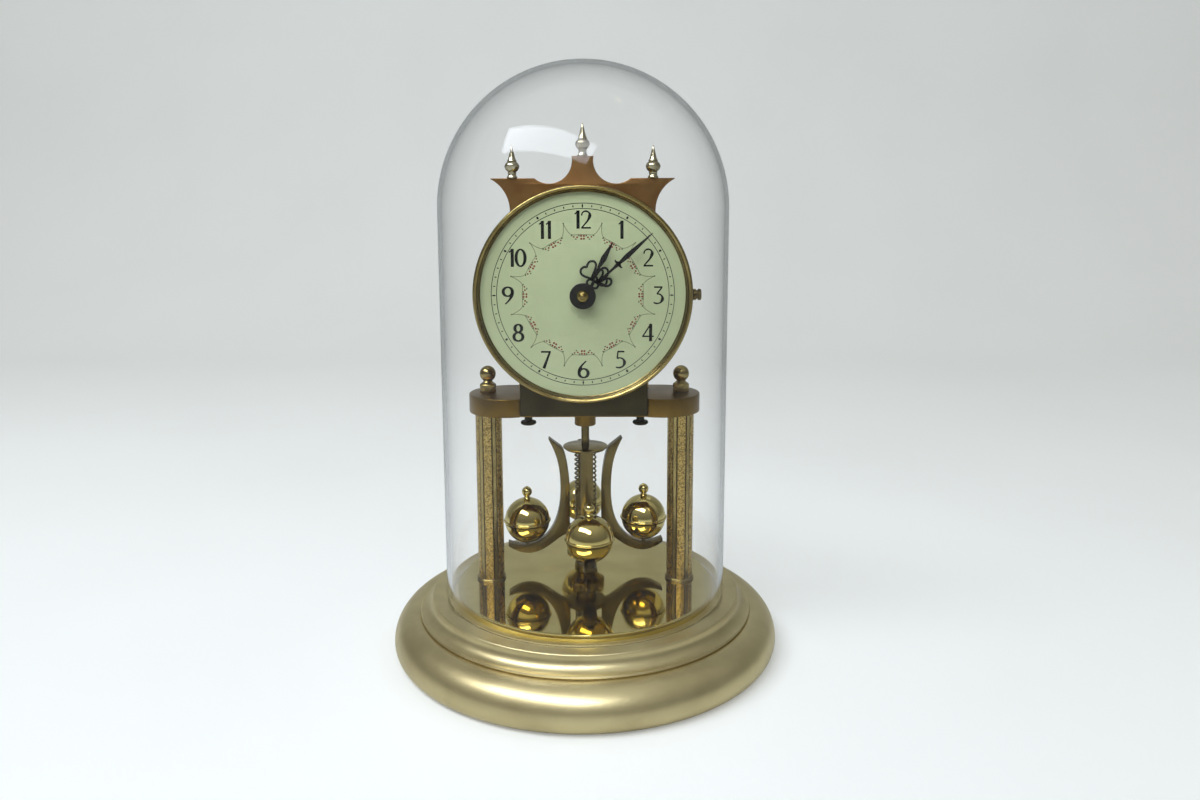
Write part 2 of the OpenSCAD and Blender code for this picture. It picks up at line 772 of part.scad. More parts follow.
module second_wheel() {
    color(brass) {
        arbor(second_p, arbor_r);
        pinion(second_p, second_t, barrel_m, great_y - overhang, great_y + 1.5 + overhang);
        at(second_p, second_t, second_y, second_y + wheel_t) wheel(second_n, second_m);
    }
}
module third_wheel() {
    color(brass) {
        arbor(third_p, arbor_r);
        pinion(third_p, third_t, second_m, second_y - overhang, second_y + wheel_t + overhang);
        at(third_p, third_t, third_y, third_y + wheel_t) wheel(third_n, third_m);
    }
}
module centre_wheel() {
    color(brass) {
        bar_y(centre_p, centre_r, minute_y - hand_t - 0.6, back_y);
        pinion(centre_p, centre_t, third_m, third_y - overhang, third_y + wheel_t + overhang);
        at(centre_p, centre_t, centre_y, centre_y + wheel_t) wheel(centre_n, fine_m);
    }
}
module fourth_wheel() {
    color(brass) {
        arbor(fourth_p, arbor_r);
        pinion(fourth_p, fourth_t, fine_m, centre_y - overhang, centre_y + wheel_t + overhang);
        at(fourth_p, fourth_t, fourth_y, fourth_y + wheel_t) wheel(fourth_n, fine_m);
    }
}

escape_r = 7.5;
escape_n = 20;
escape_depth = 1.9;
module escape_wheel() {
    root = escape_r - escape_depth;
    points = [for (i = [0:escape_n - 1]) let (t = 360 * i / escape_n) each [
        root * [cos(t), sin(t)], escape_r * [cos(t + 7), sin(t + 7)],
        escape_r * [cos(t + 8), sin(t + 8)], root * [cos(t + 9.5), sin(t + 9.5)]]];
    color(brass) {
        arbor(escape_p, arbor_r);
        pinion(escape_p, escape_t, fine_m, fourth_y - overhang, fourth_y + wheel_t + overhang);
        at(escape_p, 0, escape_y, escape_y + wheel_t) difference() {
            polygon(points);
            difference() {
                circle(root - 1);
                circle(1.7);
                for (i = [0:spokes - 1]) rotate(90 * i) translate([0, -0.5]) square([root, 1]);
            }
        }
    }
}

pin_r = 0.4;
pin_y = 4.8;
pin_up = 13.2;
fork_z = anchor_p[1] + pin_up;
pin_top = 4;
pallet_gap = 0.7;
module anchor() {
    inner = escape_r + pallet_gap;
    color(steel) {
        bar_y(anchor_p, arbor_r, front_y, pend_y - pin_y + 1.6);
        bar_y(anchor_p, 1.5, back_y + run_gap * 4, pend_y - pin_y + 1.2);
        translate([0, pend_y - pin_y, anchor_p[1]]) cylinder(r = pin_r, h = fork_z - anchor_p[1] + pin_top);
        along_y(escape_y - 0.2, escape_y + wheel_t + 0.2) difference() {
            union() {
                translate(anchor_p) circle(2.2);
                translate(escape_p) intersection() {
                    difference() {
                        circle(inner + 2);
                        circle(inner);
                    }
                    polygon(escape_r * [[0, 0], [2.7, 2.4], [1.6, 4], [-1.6, 4], [-2.7, 2.4]]);
                }
                translate(anchor_p + [-1, -3]) square([2, 3]);
            }
            translate(escape_p) circle(inner);
        }
    }
}

// Motion work behind the dial

cannon_y = front_y - 3;
module cannon_pinion() {
    color(brass) difference() {
        union() {
            pinion(centre_p, centre_t, fine_m, cannon_y, front_y - 0.6);
            bar_y(centre_p, cannon_r, minute_y - hand_t, cannon_y + 0.5);
        }
        bar_y(centre_p, centre_r, minute_y - 2, front_y);
    }
}
motion_y = front_y - 2.2;
module minute_wheel() {
    color(brass) difference() {
        union() {
            at(motion_p, motion_t, motion_y, motion_y + wheel_t) wheel(motion_n, fine_m);
            at(motion_p, motion_t, motion_y - 2.4, motion_y + 0.3) polygon(gear_points(leaves, hour_m));
        }
        bar_y(motion_p, stud_r + run_gap, motion_y - 4, front_y);
    }
}
hour_wheel_y = front_y - 4.4;
module hour_wheel() {
    color(brass) difference() {
        union() {
            at(centre_p, hour_t, hour_wheel_y, hour_wheel_y + 1) wheel(hour_n, hour_m);
            bar_y(centre_p, pipe_r, hour_y - hand_t, hour_wheel_y + 1);
        }
        bar_y(centre_p, cannon_r + run_gap, minute_y - 1, front_y);
    }
}

// Winding work at the back

ratchet_n = 18;
ratchet_r = 9;
ratchet_y = back_y + 0.4;
ratchet_t = 1.6;
square_w = 3.6;
square_l = 9;
module winding_arbor() {
    color(steel) {
        bar_y(barrel_p, barrel_bore, front_y, ratchet_y + ratchet_t);
        at(barrel_p, 45, ratchet_y + ratchet_t - 0.1, ratchet_y + ratchet_t + square_l)
            square(square_w, center = true);
    }
}
module ratchet_wheel() {
    points = [for (i = [0:ratchet_n - 1]) let (t = 360 * i / ratchet_n) each [
        (ratchet_r - 1.3) * [cos(t), sin(t)], ratchet_r * [cos(t + 2), sin(t + 2)]]];
    color(steel) difference() {
        at(barrel_p, 0, ratchet_y, ratchet_y + ratchet_t) polygon(points);
        bar_y(barrel_p, barrel_bore, ratchet_y - 1, ratchet_y + ratchet_t + 1);
    }
}
click_p = barrel_p + [-17, 6];
click_r = 2.4;
module click() {
    nose = ratchet_r + move_gap;
    color(steel) difference() {
        along_y(ratchet_y, ratchet_y + ratchet_t) difference() {
            hull() {
                translate(click_p) circle(click_r);
                translate(barrel_p + (nose + 1) * [cos(148), sin(148)]) circle(0.8);
            }
            translate(barrel_p) circle(nose);
        }
        bar_y(click_p, screw_r + run_gap, ratchet_y - 1, ratchet_y + ratchet_t + 1);
    }
}
module click_screw() {
    color(steel) {
        bar_y(click_p, screw_r, back_in + 0.8, ratchet_y + ratchet_t + 0.3);
        bar_y(click_p, click_r, ratchet_y + ratchet_t + 0.2, ratchet_y + ratchet_t + 1.2);
    }
}

// Suspension behind the back plate

hanger_drop = 6;
hanger_z = deck_z + back_h - hanger_drop;
block_w = 5;
block_t = 3;
block_h = 7;
hanger_w = 11;
hanger_h = 8;
cross_r = 1;
strip_w = 0.8;
strip_t = 0.2;
strip_bore = 0.65;
module suspension_bracket() {
    color(brass) difference() {
        translate([-hanger_w / 2, back_y, hanger_z]) cube([hanger_w, pend_y - back_y + 4, hanger_h]);
        translate([-block_w / 2 - hole_gap, pend_y - block_t, hanger_z - 1])
            cube([block_w + 2 * hole_gap, 20, hanger_h + 2]);
        translate([-hanger_w, pend_y, hanger_z + hanger_h / 2]) rotate([0, 90, 0])
            cylinder(r = cross_r, h = 2 * hanger_w);
    }
}
module suspension_pin() {
    color(steel) translate([-hanger_w / 2 - 1, pend_y, hanger_z + hanger_h / 2]) rotate([0, 90, 0]) {
        cylinder(r = cross_r, h = hanger_w + 1);
        cylinder(r = cross_r + 1, h = 1);
    }
}
module suspension_top_block() {
    color(brass) translate([0, pend_y, hanger_z + (hanger_h - block_h) / 2]) difference() {
        translate([-block_w / 2, -block_t / 2, 0]) cube([block_w, block_t, block_h]);
        translate([-block_w, 0, block_h / 2]) rotate([0, 90, 0]) cylinder(r = cross_r, h = 2 * block_w);
        translate([-strip_w / 2, -strip_t / 2, -1]) cube([strip_w, strip_t, block_h / 2 - cross_r]);
    }
}
block_up = 9;
bottom_z = deck_z + block_up;
module suspension_strip() {
    low = bottom_z + 2;
    color(steel) translate([-strip_w / 2, pend_y - strip_t / 2, low])
        cube([strip_w, strip_t, hanger_z + block_h / 2 - cross_r - 0.5 - low]);
}
fork_t = 2;
module suspension_fork() {
    tine = 0.8;
    inner = pin_r + 0.12;
    color(brass) translate([0, pend_y, fork_z - fork_t / 2]) difference() {
        union() {
            translate([-2.4, -1.4, 0]) cube([4.8, 2.8, fork_t]);
            for (s = [-1, 1]) translate([s * (inner + tine / 2) - tine / 2, -pin_y - 1.4, 0])
                cube([tine, pin_y + 1, fork_t]);
        }
        translate([0, 0, -1]) cylinder(r = strip_bore, h = fork_t + 2);
    }
}
module suspension_bottom_block() {
    color(brass) translate([0, pend_y, bottom_z]) difference() {
        translate([-block_w / 2, -block_t / 2, 0]) cube([block_w, block_t, block_h]);
        translate([0, 0, 1.5]) cylinder(r = strip_bore, h = block_h);
    }
}

// Pendulum

module at_arms(spots = [0, 1, 2, 3]) {
    translate([0, pend_y, 0]) for (i = spots) rotate(pend_angle + 90 * i) children();
}

rod_r = rod_d / 2;
nut_z = floor_z + 3;
pin_end = 0.9;
module pendulum_rod() {
    low = floor_z + pin_end;
    color(brass) translate([0, pend_y, low]) {
        cylinder(r = rod_r, h = bottom_z - low);
    }
}

hub_t = 2.5;
arm_in = 8.6;
module pendulum_hub() {
    color(brass) difference() {
        translate([0, pend_y, hub_z]) difference() {
            cylinder(d = hub_d, h = hub_t);
            translate([0, 0, -1]) cylinder(r = rod_r, h = hub_t + 2);
        }
        at_arms() translate([arm_in, -arm_w / 2, hub_z - 1]) cube([hub_d, arm_w, hub_t + 2]);
    }
}

stud_d = 2;
ball_gap = 1.6;
tip_r = 19.6;
tip_z = disc_z + 5.3;
leg_t = 3.9;
leg_end = ball_orbit + 10.2;
stub_t = 1.6;
// Outline of an arm: the side arms end in a horn, the front and back ones level with the disc
function arm_outline(horned) =
    let (
        over = ball_d / 2 + ball_gap,
        low = ball_z - over,
        waist = arm_in + 4.8,
        waist_z = hub_z + 25,
        rest = disc_d / 2 + move_gap,
        stub = rest + stub_t,
        top = horned ? [tip_r, tip_z] : [stub, disc_z + 1],
        bend = horned ? [tip_r - 4, tip_z - 8] : [stub, disc_z - 8],
        peak = horned ? [tip_r - 0.5, tip_z + 0.3] : [rest + 0.6, disc_z + 1]
    )
    concat(
        curve([top, bend, [waist + 0.2, waist_z + 14], [waist, waist_z]], 10),
        curve([[waist, waist_z], [waist, waist_z - 14], [waist + 4, low + 2], [ball_orbit, low]], 10),
        curve([[ball_orbit, low], [ball_orbit + 4, low - 0.3],
            [leg_end - 3, low + 0.8], [leg_end, low + 1.8]], 5),
        curve([[leg_end, low + 0.2], [leg_end - 3, low - 1.9], [ball_orbit + 4, low - leg_t],
            [ball_orbit - 2, low - leg_t]], 6),
        curve([[ball_orbit - 2, low - leg_t], [waist + 8, low - leg_t + 0.4], [waist + 3, hub_z - 2],
            [arm_in + 2.6, hub_z]], 8),
        [[arm_in, hub_z], [arm_in, waist_z]],
        curve([[arm_in, waist_z], [arm_in + 0.2, waist_z + 10],
            [rest - 2, disc_z - 5], [rest - 0.6, disc_z - 1]], 6),
        [[rest + 0.4, disc_z + 0.6], peak]
    );
module arm(horned) {
    translate([0, arm_w / 2, 0]) rotate([90, 0, 0])
        linear_extrude(arm_w) polygon(arm_outline(horned));
}
module pendulum_arms() {
    color(brass) difference() {
        union() {
            at_arms([0, 2]) arm(true);
            at_arms([1, 3]) arm(false);
        }
        at_arms() translate([ball_orbit, 0, ball_z - ball_d]) cylinder(d = stud_d, h = ball_d);
    }
}

equator_t = 0.9;
equator_out = 0.6;
module pendulum_balls() {
    color("gold") at_arms() translate([ball_orbit, 0, ball_z]) difference() {
        rotate_extrude() union() {
            intersection() {
                circle(d = ball_d, $fn = 96);
                translate([0, -ball_d]) square([ball_d, 2 * ball_d]);
            }
            translate([0, -equator_t / 2]) square([ball_d / 2 + equator_out, equator_t]);
        }
        cylinder(d = stud_d, h = ball_d + 2, center = true);
    }
}

bead_r = 2.7;
module ball_finials() {
    top = ball_d / 2;
    stud_l = top + ball_gap + leg_t - 0.4;
    color("gold") at_arms() translate([ball_orbit, 0, ball_z]) rotate_extrude($fn = 48) polygon(concat(
        [[0, -stud_l], [stud_d / 2, -stud_l], [stud_d / 2, top + 0.05],
            [1.9, top + 0.05], [1.9, top + 0.5], [1.25, top + 0.9], [1.25, top + 1.4]],
        arc([0, top + 3.5], bead_r, bead_r, -55, 60, 12),
        [[0.5, top + 6.4], [0, top + 6.6]]
    ));
}

pend_nut_r = 10;
module pendulum_nut() {
    color(brass) translate([0, pend_y, nut_z]) difference() {
        rotate_extrude() polygon([
            [0, 0], [5, 0], [6, 1], [pend_nut_r - 1.2, 3.4], [pend_nut_r, 4], [pend_nut_r, 8],
            [pend_nut_r - 1, 8.8], [5.7, 10.5], [5.7, hub_z - nut_z], [0, hub_z - nut_z]
        ]);
        translate([0, 0, -1]) cylinder(r = rod_r, h = hub_z);
        for (i = [0:23]) rotate(15 * i) translate([pend_nut_r + 0.35, 0, 2])
            cylinder(r = 0.7, h = 8, $fn = 16);
    }
}

// Coil spring: one tube of six sides along a helix, whose ends stand square on hub and disc
coil_rings = 8;
coil_sides = 6;
coil_low = hub_z + hub_t;
coil_high = disc_z - 1 - move_gap;
coil_r = (coil_d - coil_wire) / 2;
coil_pitch = (coil_high - coil_low - 2 * coil_wire) / coil_turns;
function coil_points() = concat(
    [[coil_r, 0, coil_low]],
    [for (i = [0:coil_turns * coil_rings]) let (t = 360 * i / coil_rings)
        [coil_r * cos(t), coil_r * sin(t), coil_low + coil_wire + coil_pitch * i / coil_rings]],
    [[coil_r, 0, coil_high]]
);
function unit(v) = v / norm(v);
function coil_along(p, i) = i == 0 || i == len(p) - 1 ? [0, 0, 1] :
    unit(unit(p[i + 1] - p[i]) + unit(p[i] - p[i - 1]));
function coil_ring(p, i) = let (d = coil_along(p, i), out = unit([p[i][0], p[i][1], 0]),
    u = unit(out - (out * d) * d), v = cross(d, u))
    [for (k = [0:coil_sides - 1]) let (t = 360 * k / coil_sides)
        p[i] + coil_wire / 2 * (cos(t) * u + sin(t) * v)];
module tube(p) {
    n = len(p);
    s = coil_sides;
    points = [for (i = [0:n - 1]) each coil_ring(p, i)];
    walls = [for (i = [0:n - 2], k = [0:s - 1]) let (a = i * s + k, b = i * s + (k + 1) % s)
        each [[a, a + s, b], [b, a + s, b + s]]];
    last = (n - 1) * s;
    caps = [for (k = [1:s - 2]) each [[0, k, k + 1], [last, last + k + 1, last + k]]];
    polyhedron(points, concat(walls, caps));
}
coil_gap = min([for (i = [0:coil_rings], j = [i + coil_rings / 2:i + 2 * coil_rings])
    norm(coil_points()[i + 1] - coil_points()[j + 1])]) - coil_wire;
echo(least_gap_between_coils = coil_gap);
module regulator_spring() {
    color(steel) translate([0, pend_y, 0]) tube(coil_points());
}

disc_t = 2;
disc_recess = 0.8;
disc_recess_r = 6.3;
module regulator_disc() {
    color(brass) translate([0, pend_y, disc_z - 1]) difference() {
        rotate_extrude() polygon([
            [0, 0], [disc_d / 2 - 1.6, 0], [disc_d / 2, disc_t - 0.6], [disc_d / 2, disc_t - 0.2],
            [disc_d / 2 - 0.2, disc_t],
            [disc_recess_r, disc_t], [disc_recess_r, disc_t - disc_recess], [0, disc_t - disc_recess]
        ]);
        translate([0, 0, -1]) cylinder(r = rod_r + run_gap, h = disc_t + 2);
    }
}

base_shell();
base_cover();
floor_plate();
guide_cup();
glass_dome();
pillar_left();
pillar_right();
pillar_foot_rings();
tie_rods();
tie_nuts();
platform();
ball_nuts();
thumb_screws();
guide_tube();
front_plate();
back_plate();
distance_bars();
back_plate_screws();
crown_finials();
dial();
dial_posts();
bezel();
bezel_screw();
minute_hand();
hour_hand();
hand_nut();
cannon_pinion();
minute_wheel();
hour_wheel();
centre_wheel();
third_wheel();
second_wheel();
mainspring_barrel();
fourth_wheel();
escape_wheel();
anchor();
winding_arbor();
ratchet_wheel();
click();
click_screw();
suspension_bracket();
suspension_pin();
suspension_top_block();
suspension_strip();
suspension_fork();
suspension_bottom_block();
pendulum_rod();
pendulum_hub();
pendulum_arms();
pendulum_balls();
ball_finials();
pendulum_nut();
regulator_spring();
regulator_disc();
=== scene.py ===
"""Looks of a torsion-pendulum clock under a glass dome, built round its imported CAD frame."""
import logging
import math
from dataclasses import dataclass, field, replace
from enum import Enum
from typing import Callable

import bmesh
import bpy
from mathutils import Matrix, Vector


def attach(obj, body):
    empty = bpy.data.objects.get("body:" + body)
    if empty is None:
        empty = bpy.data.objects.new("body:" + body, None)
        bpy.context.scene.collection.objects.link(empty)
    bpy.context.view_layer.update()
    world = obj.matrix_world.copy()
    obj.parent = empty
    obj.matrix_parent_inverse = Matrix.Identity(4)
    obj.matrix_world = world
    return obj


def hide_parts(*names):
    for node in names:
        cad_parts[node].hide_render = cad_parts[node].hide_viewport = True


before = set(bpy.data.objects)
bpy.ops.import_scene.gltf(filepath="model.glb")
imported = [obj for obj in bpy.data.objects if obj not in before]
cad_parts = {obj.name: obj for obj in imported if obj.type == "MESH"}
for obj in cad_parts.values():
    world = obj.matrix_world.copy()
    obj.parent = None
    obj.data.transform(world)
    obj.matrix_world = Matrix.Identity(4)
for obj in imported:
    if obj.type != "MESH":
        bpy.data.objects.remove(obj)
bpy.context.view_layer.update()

log = logging.getLogger("dome_clock")

MM = 0.001
# Lengths in millimetres below which a length counts as nothing, and below which corners are welded
TINY = 1e-6
WELD = 0.002
# Places in the CAD frame that several pieces share, in millimetres
FLOOR_Z = 32.0
PLATFORM_Z = 121.6
DECK_Z = 130.7
DIAL_Z = 182.3
AXIS_Y = 16.0
PLATE_Y = -19.0

Point = tuple[float, float]
Stroke = list[tuple[float, float, float]]
Wave = Callable[[float, float, float], float]


def linear(code: str) -> tuple[float, float, float, float]:
    """Turns an sRGB hex colour into linear light.

    Args:
        code: Colour such as "#A0B1C2".

    Returns:
        Linear red, green and blue, and an alpha of 1.
    """
    parts = [int(code[i:i + 2], 16) / 255 for i in (1, 3, 5)]
    red, green, blue = [c / 12.92 if c <= 0.04045 else ((c + 0.055) / 1.055) ** 2.4 for c in parts]
    return (red, green, blue, 1.0)


def add_node(tree: bpy.types.NodeTree, kind: str, settings: dict | None = None,
             links: dict | None = None) -> bpy.types.Node:
    """Adds a node to a tree, with its settings and its links.

    Args:
        tree: Node tree of a material or the world.
        kind: Blender's name of the node.
        settings: Values by socket name or property name; "stops" fills a colour ramp.
        links: Outputs of other nodes by the name of the socket that they feed.

    Returns:
        The new node.
    """
    node = tree.nodes.new(kind)
    for key, value in (settings or {}).items():
        if key == "stops":
            ramp = node.color_ramp.elements
            for index, (place, code) in enumerate(value):
                stop = ramp[index] if index < len(ramp) else ramp.new(place)
                stop.position = place
                stop.color = linear(code)
        elif key in node.inputs:
            node.inputs[key].default_value = value
        else:
            setattr(node, key, value)
    for key, output in (links or {}).items():
        tree.links.new(output, node.inputs[key])
    return node


def seen_directly(tree: bpy.types.NodeTree) -> bpy.types.NodeSocket:
    """Tells rays that come from the camera, straight or through glass, from all others.

    Args:
        tree: Node tree of a floor or of the world.

    Returns:
        The socket that holds 1 for such rays and 0 for the rest.
    """
    def combine(operation: str, *values: bpy.types.NodeSocket) -> bpy.types.NodeSocket:
        """Adds one step of arithmetic on sockets."""
        step = add_node(tree, "ShaderNodeMath", {"operation": operation}, dict(enumerate(values)))
        return step.outputs["Value"]

    ray = add_node(tree, "ShaderNodeLightPath").outputs
    kind = combine("ADD", ray["Is Camera Ray"], ray["Is Transmission Ray"])
    bounces = combine("ADD", ray["Diffuse Depth"], ray["Glossy Depth"])
    return combine("MULTIPLY", kind, combine("LESS_THAN", bounces))


class Texture(Enum):
    """Texture nodes that a fine relief is drawn with."""

    CLOUDS = "ShaderNodeTexNoise"
    CELLS = "ShaderNodeTexVoronoi"


class Direction(Enum):
    """Ways that a relief can run, as the stretch of its pattern along X, Y and Z."""

    EVEN = (1.0, 1.0, 1.0)
    ALONG_X = (0.02, 1.0, 1.0)


@dataclass(frozen=True)
class Relief:
    """Fine relief that a process leaves on a surface, drawn a little coarser than real so that it shows."""

    size_mm: float
    strength: float
    height_mm: float
    detail: float = 2.0
    distortion: float = 0.0
    texture: Texture = Texture.CLOUDS
    way: Direction = Direction.EVEN

    def add(self, tree: bpy.types.NodeTree, shader: bpy.types.Node) -> bpy.types.Node:
        """Adds the relief to a shader as a bump.

        Args:
            tree: Node tree of the material.
            shader: Its Principled shader.

        Returns:
            The texture node, for patterns that follow the relief.
        """
        spot = add_node(tree, "ShaderNodeTexCoord").outputs["Object"]
        if self.way is not Direction.EVEN:
            stretch = add_node(tree, "ShaderNodeMapping", {"Scale": self.way.value}, {"Vector": spot})
            spot = stretch.outputs["Vector"]
        settings = {"Scale": 1000 / self.size_mm, "Detail": self.detail}
        if self.distortion:
            settings["Distortion"] = self.distortion
        texture = add_node(tree, self.texture.value, settings, {"Vector": spot})
        height = texture.outputs["Fac" if self.texture is Texture.CLOUDS else "Distance"]
        bump = add_node(tree, "ShaderNodeBump", {"Strength": self.strength, "Distance": self.height_mm * MM},
                        {"Height": height})
        tree.links.new(bump.outputs["Normal"], shader.inputs["Normal"])
        return texture


@dataclass(frozen=True)
class Finish:
    """A surface finish: the constants of its shader, and patterns in real millimetres."""

    name: str
    colour: str
    shade: str
    metallic: float = 0.0
    roughness: float = 0.5
    patch_mm: float = 12.0
    extras: tuple[tuple[str, float | tuple[float, ...]], ...] = ()
    spread: float = 0.06
    relief: Relief | None = None

    def material(self) -> bpy.types.Material:
        """Makes the material once, and gives the same one each time after that.

        Returns:
            The material of this finish.
        """
        found = bpy.data.materials.get(self.name)
        if found:
            return found
        made = bpy.data.materials.new(self.name)
        made.use_nodes = True
        shader = made.node_tree.nodes["Principled BSDF"]
        constants = {"Base Color": linear(self.colour), "Metallic": self.metallic,
                     "Roughness": self.roughness}
        for key, value in (constants | dict(self.extras)).items():
            shader.inputs[key].default_value = value
        made.diffuse_color = linear(self.colour)
        self.pattern(made.node_tree, shader)
        return made

    def pattern(self, tree: bpy.types.NodeTree, shader: bpy.types.Node) -> None:
        """Adds the slow change of tone and gloss that every real surface has, and the relief.

        Args:
            tree: Node tree of the material.
            shader: Its Principled shader.
        """
        spot = add_node(tree, "ShaderNodeTexCoord")
        cloud = add_node(tree, "ShaderNodeTexNoise", {"Scale": 1000 / self.patch_mm, "Detail": 4.0},
                         {"Vector": spot.outputs["Object"]})
        ramp = add_node(tree, "ShaderNodeValToRGB", {"stops": [(0.32, self.shade), (0.62, self.colour)]},
                        {"Fac": cloud.outputs["Fac"]})
        gloss = add_node(tree, "ShaderNodeMapRange",
                         {"From Min": 0.3, "From Max": 0.7, "To Min": self.roughness + self.spread,
                          "To Max": self.roughness}, {"Value": cloud.outputs["Fac"]})
        tree.links.new(ramp.outputs["Color"], shader.inputs["Base Color"])
        tree.links.new(gloss.outputs["Result"], shader.inputs["Roughness"])
        if self.relief:
            self.relief.add(tree, shader)


@dataclass(frozen=True)
class Polished(Finish):
    """Metal that was turned and buffed: clear reflections, with a faint haze of fine wheel marks."""

    spread: float = 0.05
    relief: Relief | None = Relief(1.4, 0.04, 0.2)


# Lines of an abrasive belt, coarse on bars and finer on plates and wheels
BELT_LINES = Relief(0.5, 0.22, 0.1, 3.0, way=Direction.ALONG_X)
PLATE_LINES = replace(BELT_LINES, size_mm=0.6, strength=0.12)
WHEEL_LINES = replace(BELT_LINES, size_mm=0.4, strength=0.1)


@dataclass(frozen=True)
class Brushed(Finish):
    """Metal that was drawn over an abrasive belt: fine straight lines that blur reflections one way."""

    spread: float = 0.08
    relief: Relief | None = BELT_LINES


@dataclass(frozen=True)
class Stippled(Finish):
    """Metal that was struck all over with a round punch: a field of small bright dimples."""

    spread: float = 0.08
    dimples: Relief = Relief(0.6, 0.3, 0.4, 0.0, texture=Texture.CELLS)
    # Darkest tone of a dimple: painted shade
    pit: str = "#8A7240"

    def pattern(self, tree: bpy.types.NodeTree, shader: bpy.types.Node) -> None:
        """Adds the punched dimples, each painted a random tone from a dark pit shade up to the full colour,
        as painted shade and sparkle.

        Args:
            tree: Node tree of the material.
            shader: Its Principled shader.
        """
        super().pattern(tree, shader)
        cells = self.dimples.add(tree, shader)
        spots = add_node(tree, "ShaderNodeValToRGB",
                         {"stops": [(0.25, self.pit), (0.75, self.colour)]}, {"Fac": cells.outputs["Color"]})
        tree.links.new(spots.outputs["Color"], shader.inputs["Base Color"])


@dataclass(frozen=True)
class Sprayed(Finish):
    """Paint with metal flakes, sprayed on spun steel: satin, with a fine sparkle and a light orange peel."""

    spread: float = 0.05
    relief: Relief | None = Relief(2.4, 0.12, 0.15, 3.0)
    flake_mm: float = 0.7

    def pattern(self, tree: bpy.types.NodeTree, shader: bpy.types.Node) -> None:
        """Adds the flakes to the roughness.

        Args:
            tree: Node tree of the material.
            shader: Its Principled shader.
        """
        super().pattern(tree, shader)
        spot = add_node(tree, "ShaderNodeTexCoord")
        flakes = add_node(tree, "ShaderNodeTexVoronoi", {"Scale": 1000 / self.flake_mm},
                          {"Vector": spot.outputs["Object"]})
        gloss = add_node(tree, "ShaderNodeMapRange",
                         {"From Min": 0.0, "From Max": 0.8, "To Min": self.roughness - 0.06,
                          "To Max": self.roughness + 0.08}, {"Value": flakes.outputs["Distance"]})
        tree.links.new(gloss.outputs["Result"], shader.inputs["Roughness"])


@dataclass(frozen=True)
class Blown(Finish):
    """Clear soda glass, blown in a mould: colourless, with a very faint waviness."""

    waves: Relief = Relief(45.0, 0.03, 1.0, 1.0)

    def pattern(self, tree: bpy.types.NodeTree, shader: bpy.types.Node) -> None:
        """Adds the slow waves of blown glass, and no change of tone.

        Args:
            tree: Node tree of the material.
            shader: Its Principled shader.
        """
        self.waves.add(tree, shader)


@dataclass(frozen=True)
class Backdrop(Finish):
    """Matt wall paint, rolled on: it looks paler to the camera and through glass."""

    spread: float = 0.05
    lift: float = 0.4

    def pattern(self, tree: bpy.types.NodeTree, shader: bpy.types.Node) -> None:
        """Adds the lift for the rays that show the paint.

        Args:
            tree: Node tree of the material.
            shader: Its Principled shader.
        """
        super().pattern(tree, shader)
        glow = add_node(tree, "ShaderNodeMapRange", {"To Max": self.lift}, {"Value": seen_directly(tree)})
        shader.inputs["Emission Color"].default_value = linear(self.colour)
        tree.links.new(glow.outputs["Result"], shader.inputs["Emission Strength"])


# Buffed brass under old lacquer, a little brown in patches
POLISHED_BRASS = Polished("polished_brass", "#AA9860", "#8E7C48", 1.0, 0.16, 9.0)
# Buffed brass painted darker and browner as shade: it stands in for the dark surroundings that these parts
# mirror, and for shade in grooves and bevels
SHADE_TONED_BRASS = Polished("shade_toned_brass", "#7C6C42", "#625430", 1.0, 0.2, 9.0)
# Brass sheet of the floor and the turned balls, buffed to a mirror
MIRROR_BRASS = Polished("mirror_polished_brass", "#E0CE86", "#D0BD74", 1.0, 0.03, 24.0,
                        relief=Relief(3.0, 0.006, 0.2))
# Brass tube of the pillars, struck with a punch
STIPPLED_BRASS = Stippled("stippled_brass", "#DCBE70", "#C0A052", 1.0, 0.26, 10.0)
# Brass bar that was drawn over a belt and lacquered brown
BRUSHED_BRASS = Brushed("brushed_brass", "#84682E", "#6A5222", 1.0, 0.27, 18.0)
# Plate brass, belt ground and then toned brown in a bath
BRONZED_BRASS = Brushed("bronzed_plate_brass", "#8E6C43", "#7A5833", 1.0, 0.38, 16.0, relief=PLATE_LINES)
# The same plate painted dark as shade: on the apron, where shade falls below the dial, and on the thumb
# screws under the platform; also in the groove below each ball's bead
SHADE_PAINTED_BRASS = Brushed("painted_shade_brass", "#48412A", "#383220", 1.0, 0.4, 16.0, relief=PLATE_LINES)
# Brass of wheels and bars inside the movement, fine ground
GROUND_BRASS = Brushed("ground_brass", "#C8A864", "#AC8C4C", 1.0, 0.24, 14.0, relief=WHEEL_LINES)
# Turned spires, plated with a pale, almost silvery gold
PALE_GOLD = Polished("pale_gold_plate", "#BDB59A", "#9C9274", 1.0, 0.16, 5.0)
# Spun steel, sprayed with satin bronze-gold paint
GOLD_PAINT = Sprayed("gold_paint_on_steel", "#DACB9A", "#C4B486", 0.9, 0.33, 30.0)
# Clear glass, blown in a mould; the grey tint weakens the mirror image of the pale studio in it
CLEAR_GLASS = Blown("clear_glass", "#FFFFFF", "#FFFFFF", 0.0, 0.0, 40.0,
                    (("Transmission Weight", 1.0), ("IOR", 1.47), ("Specular Tint", (0.3, 0.3, 0.3, 1.0))))
# Stove enamel on the sheet dial, pale green cream and glossy
DIAL_ENAMEL = Finish("stove_enamel_on_sheet", "#A8B188", "#A1AA81", 0.0, 0.22, 40.0, (("Coat Weight", 0.3),))
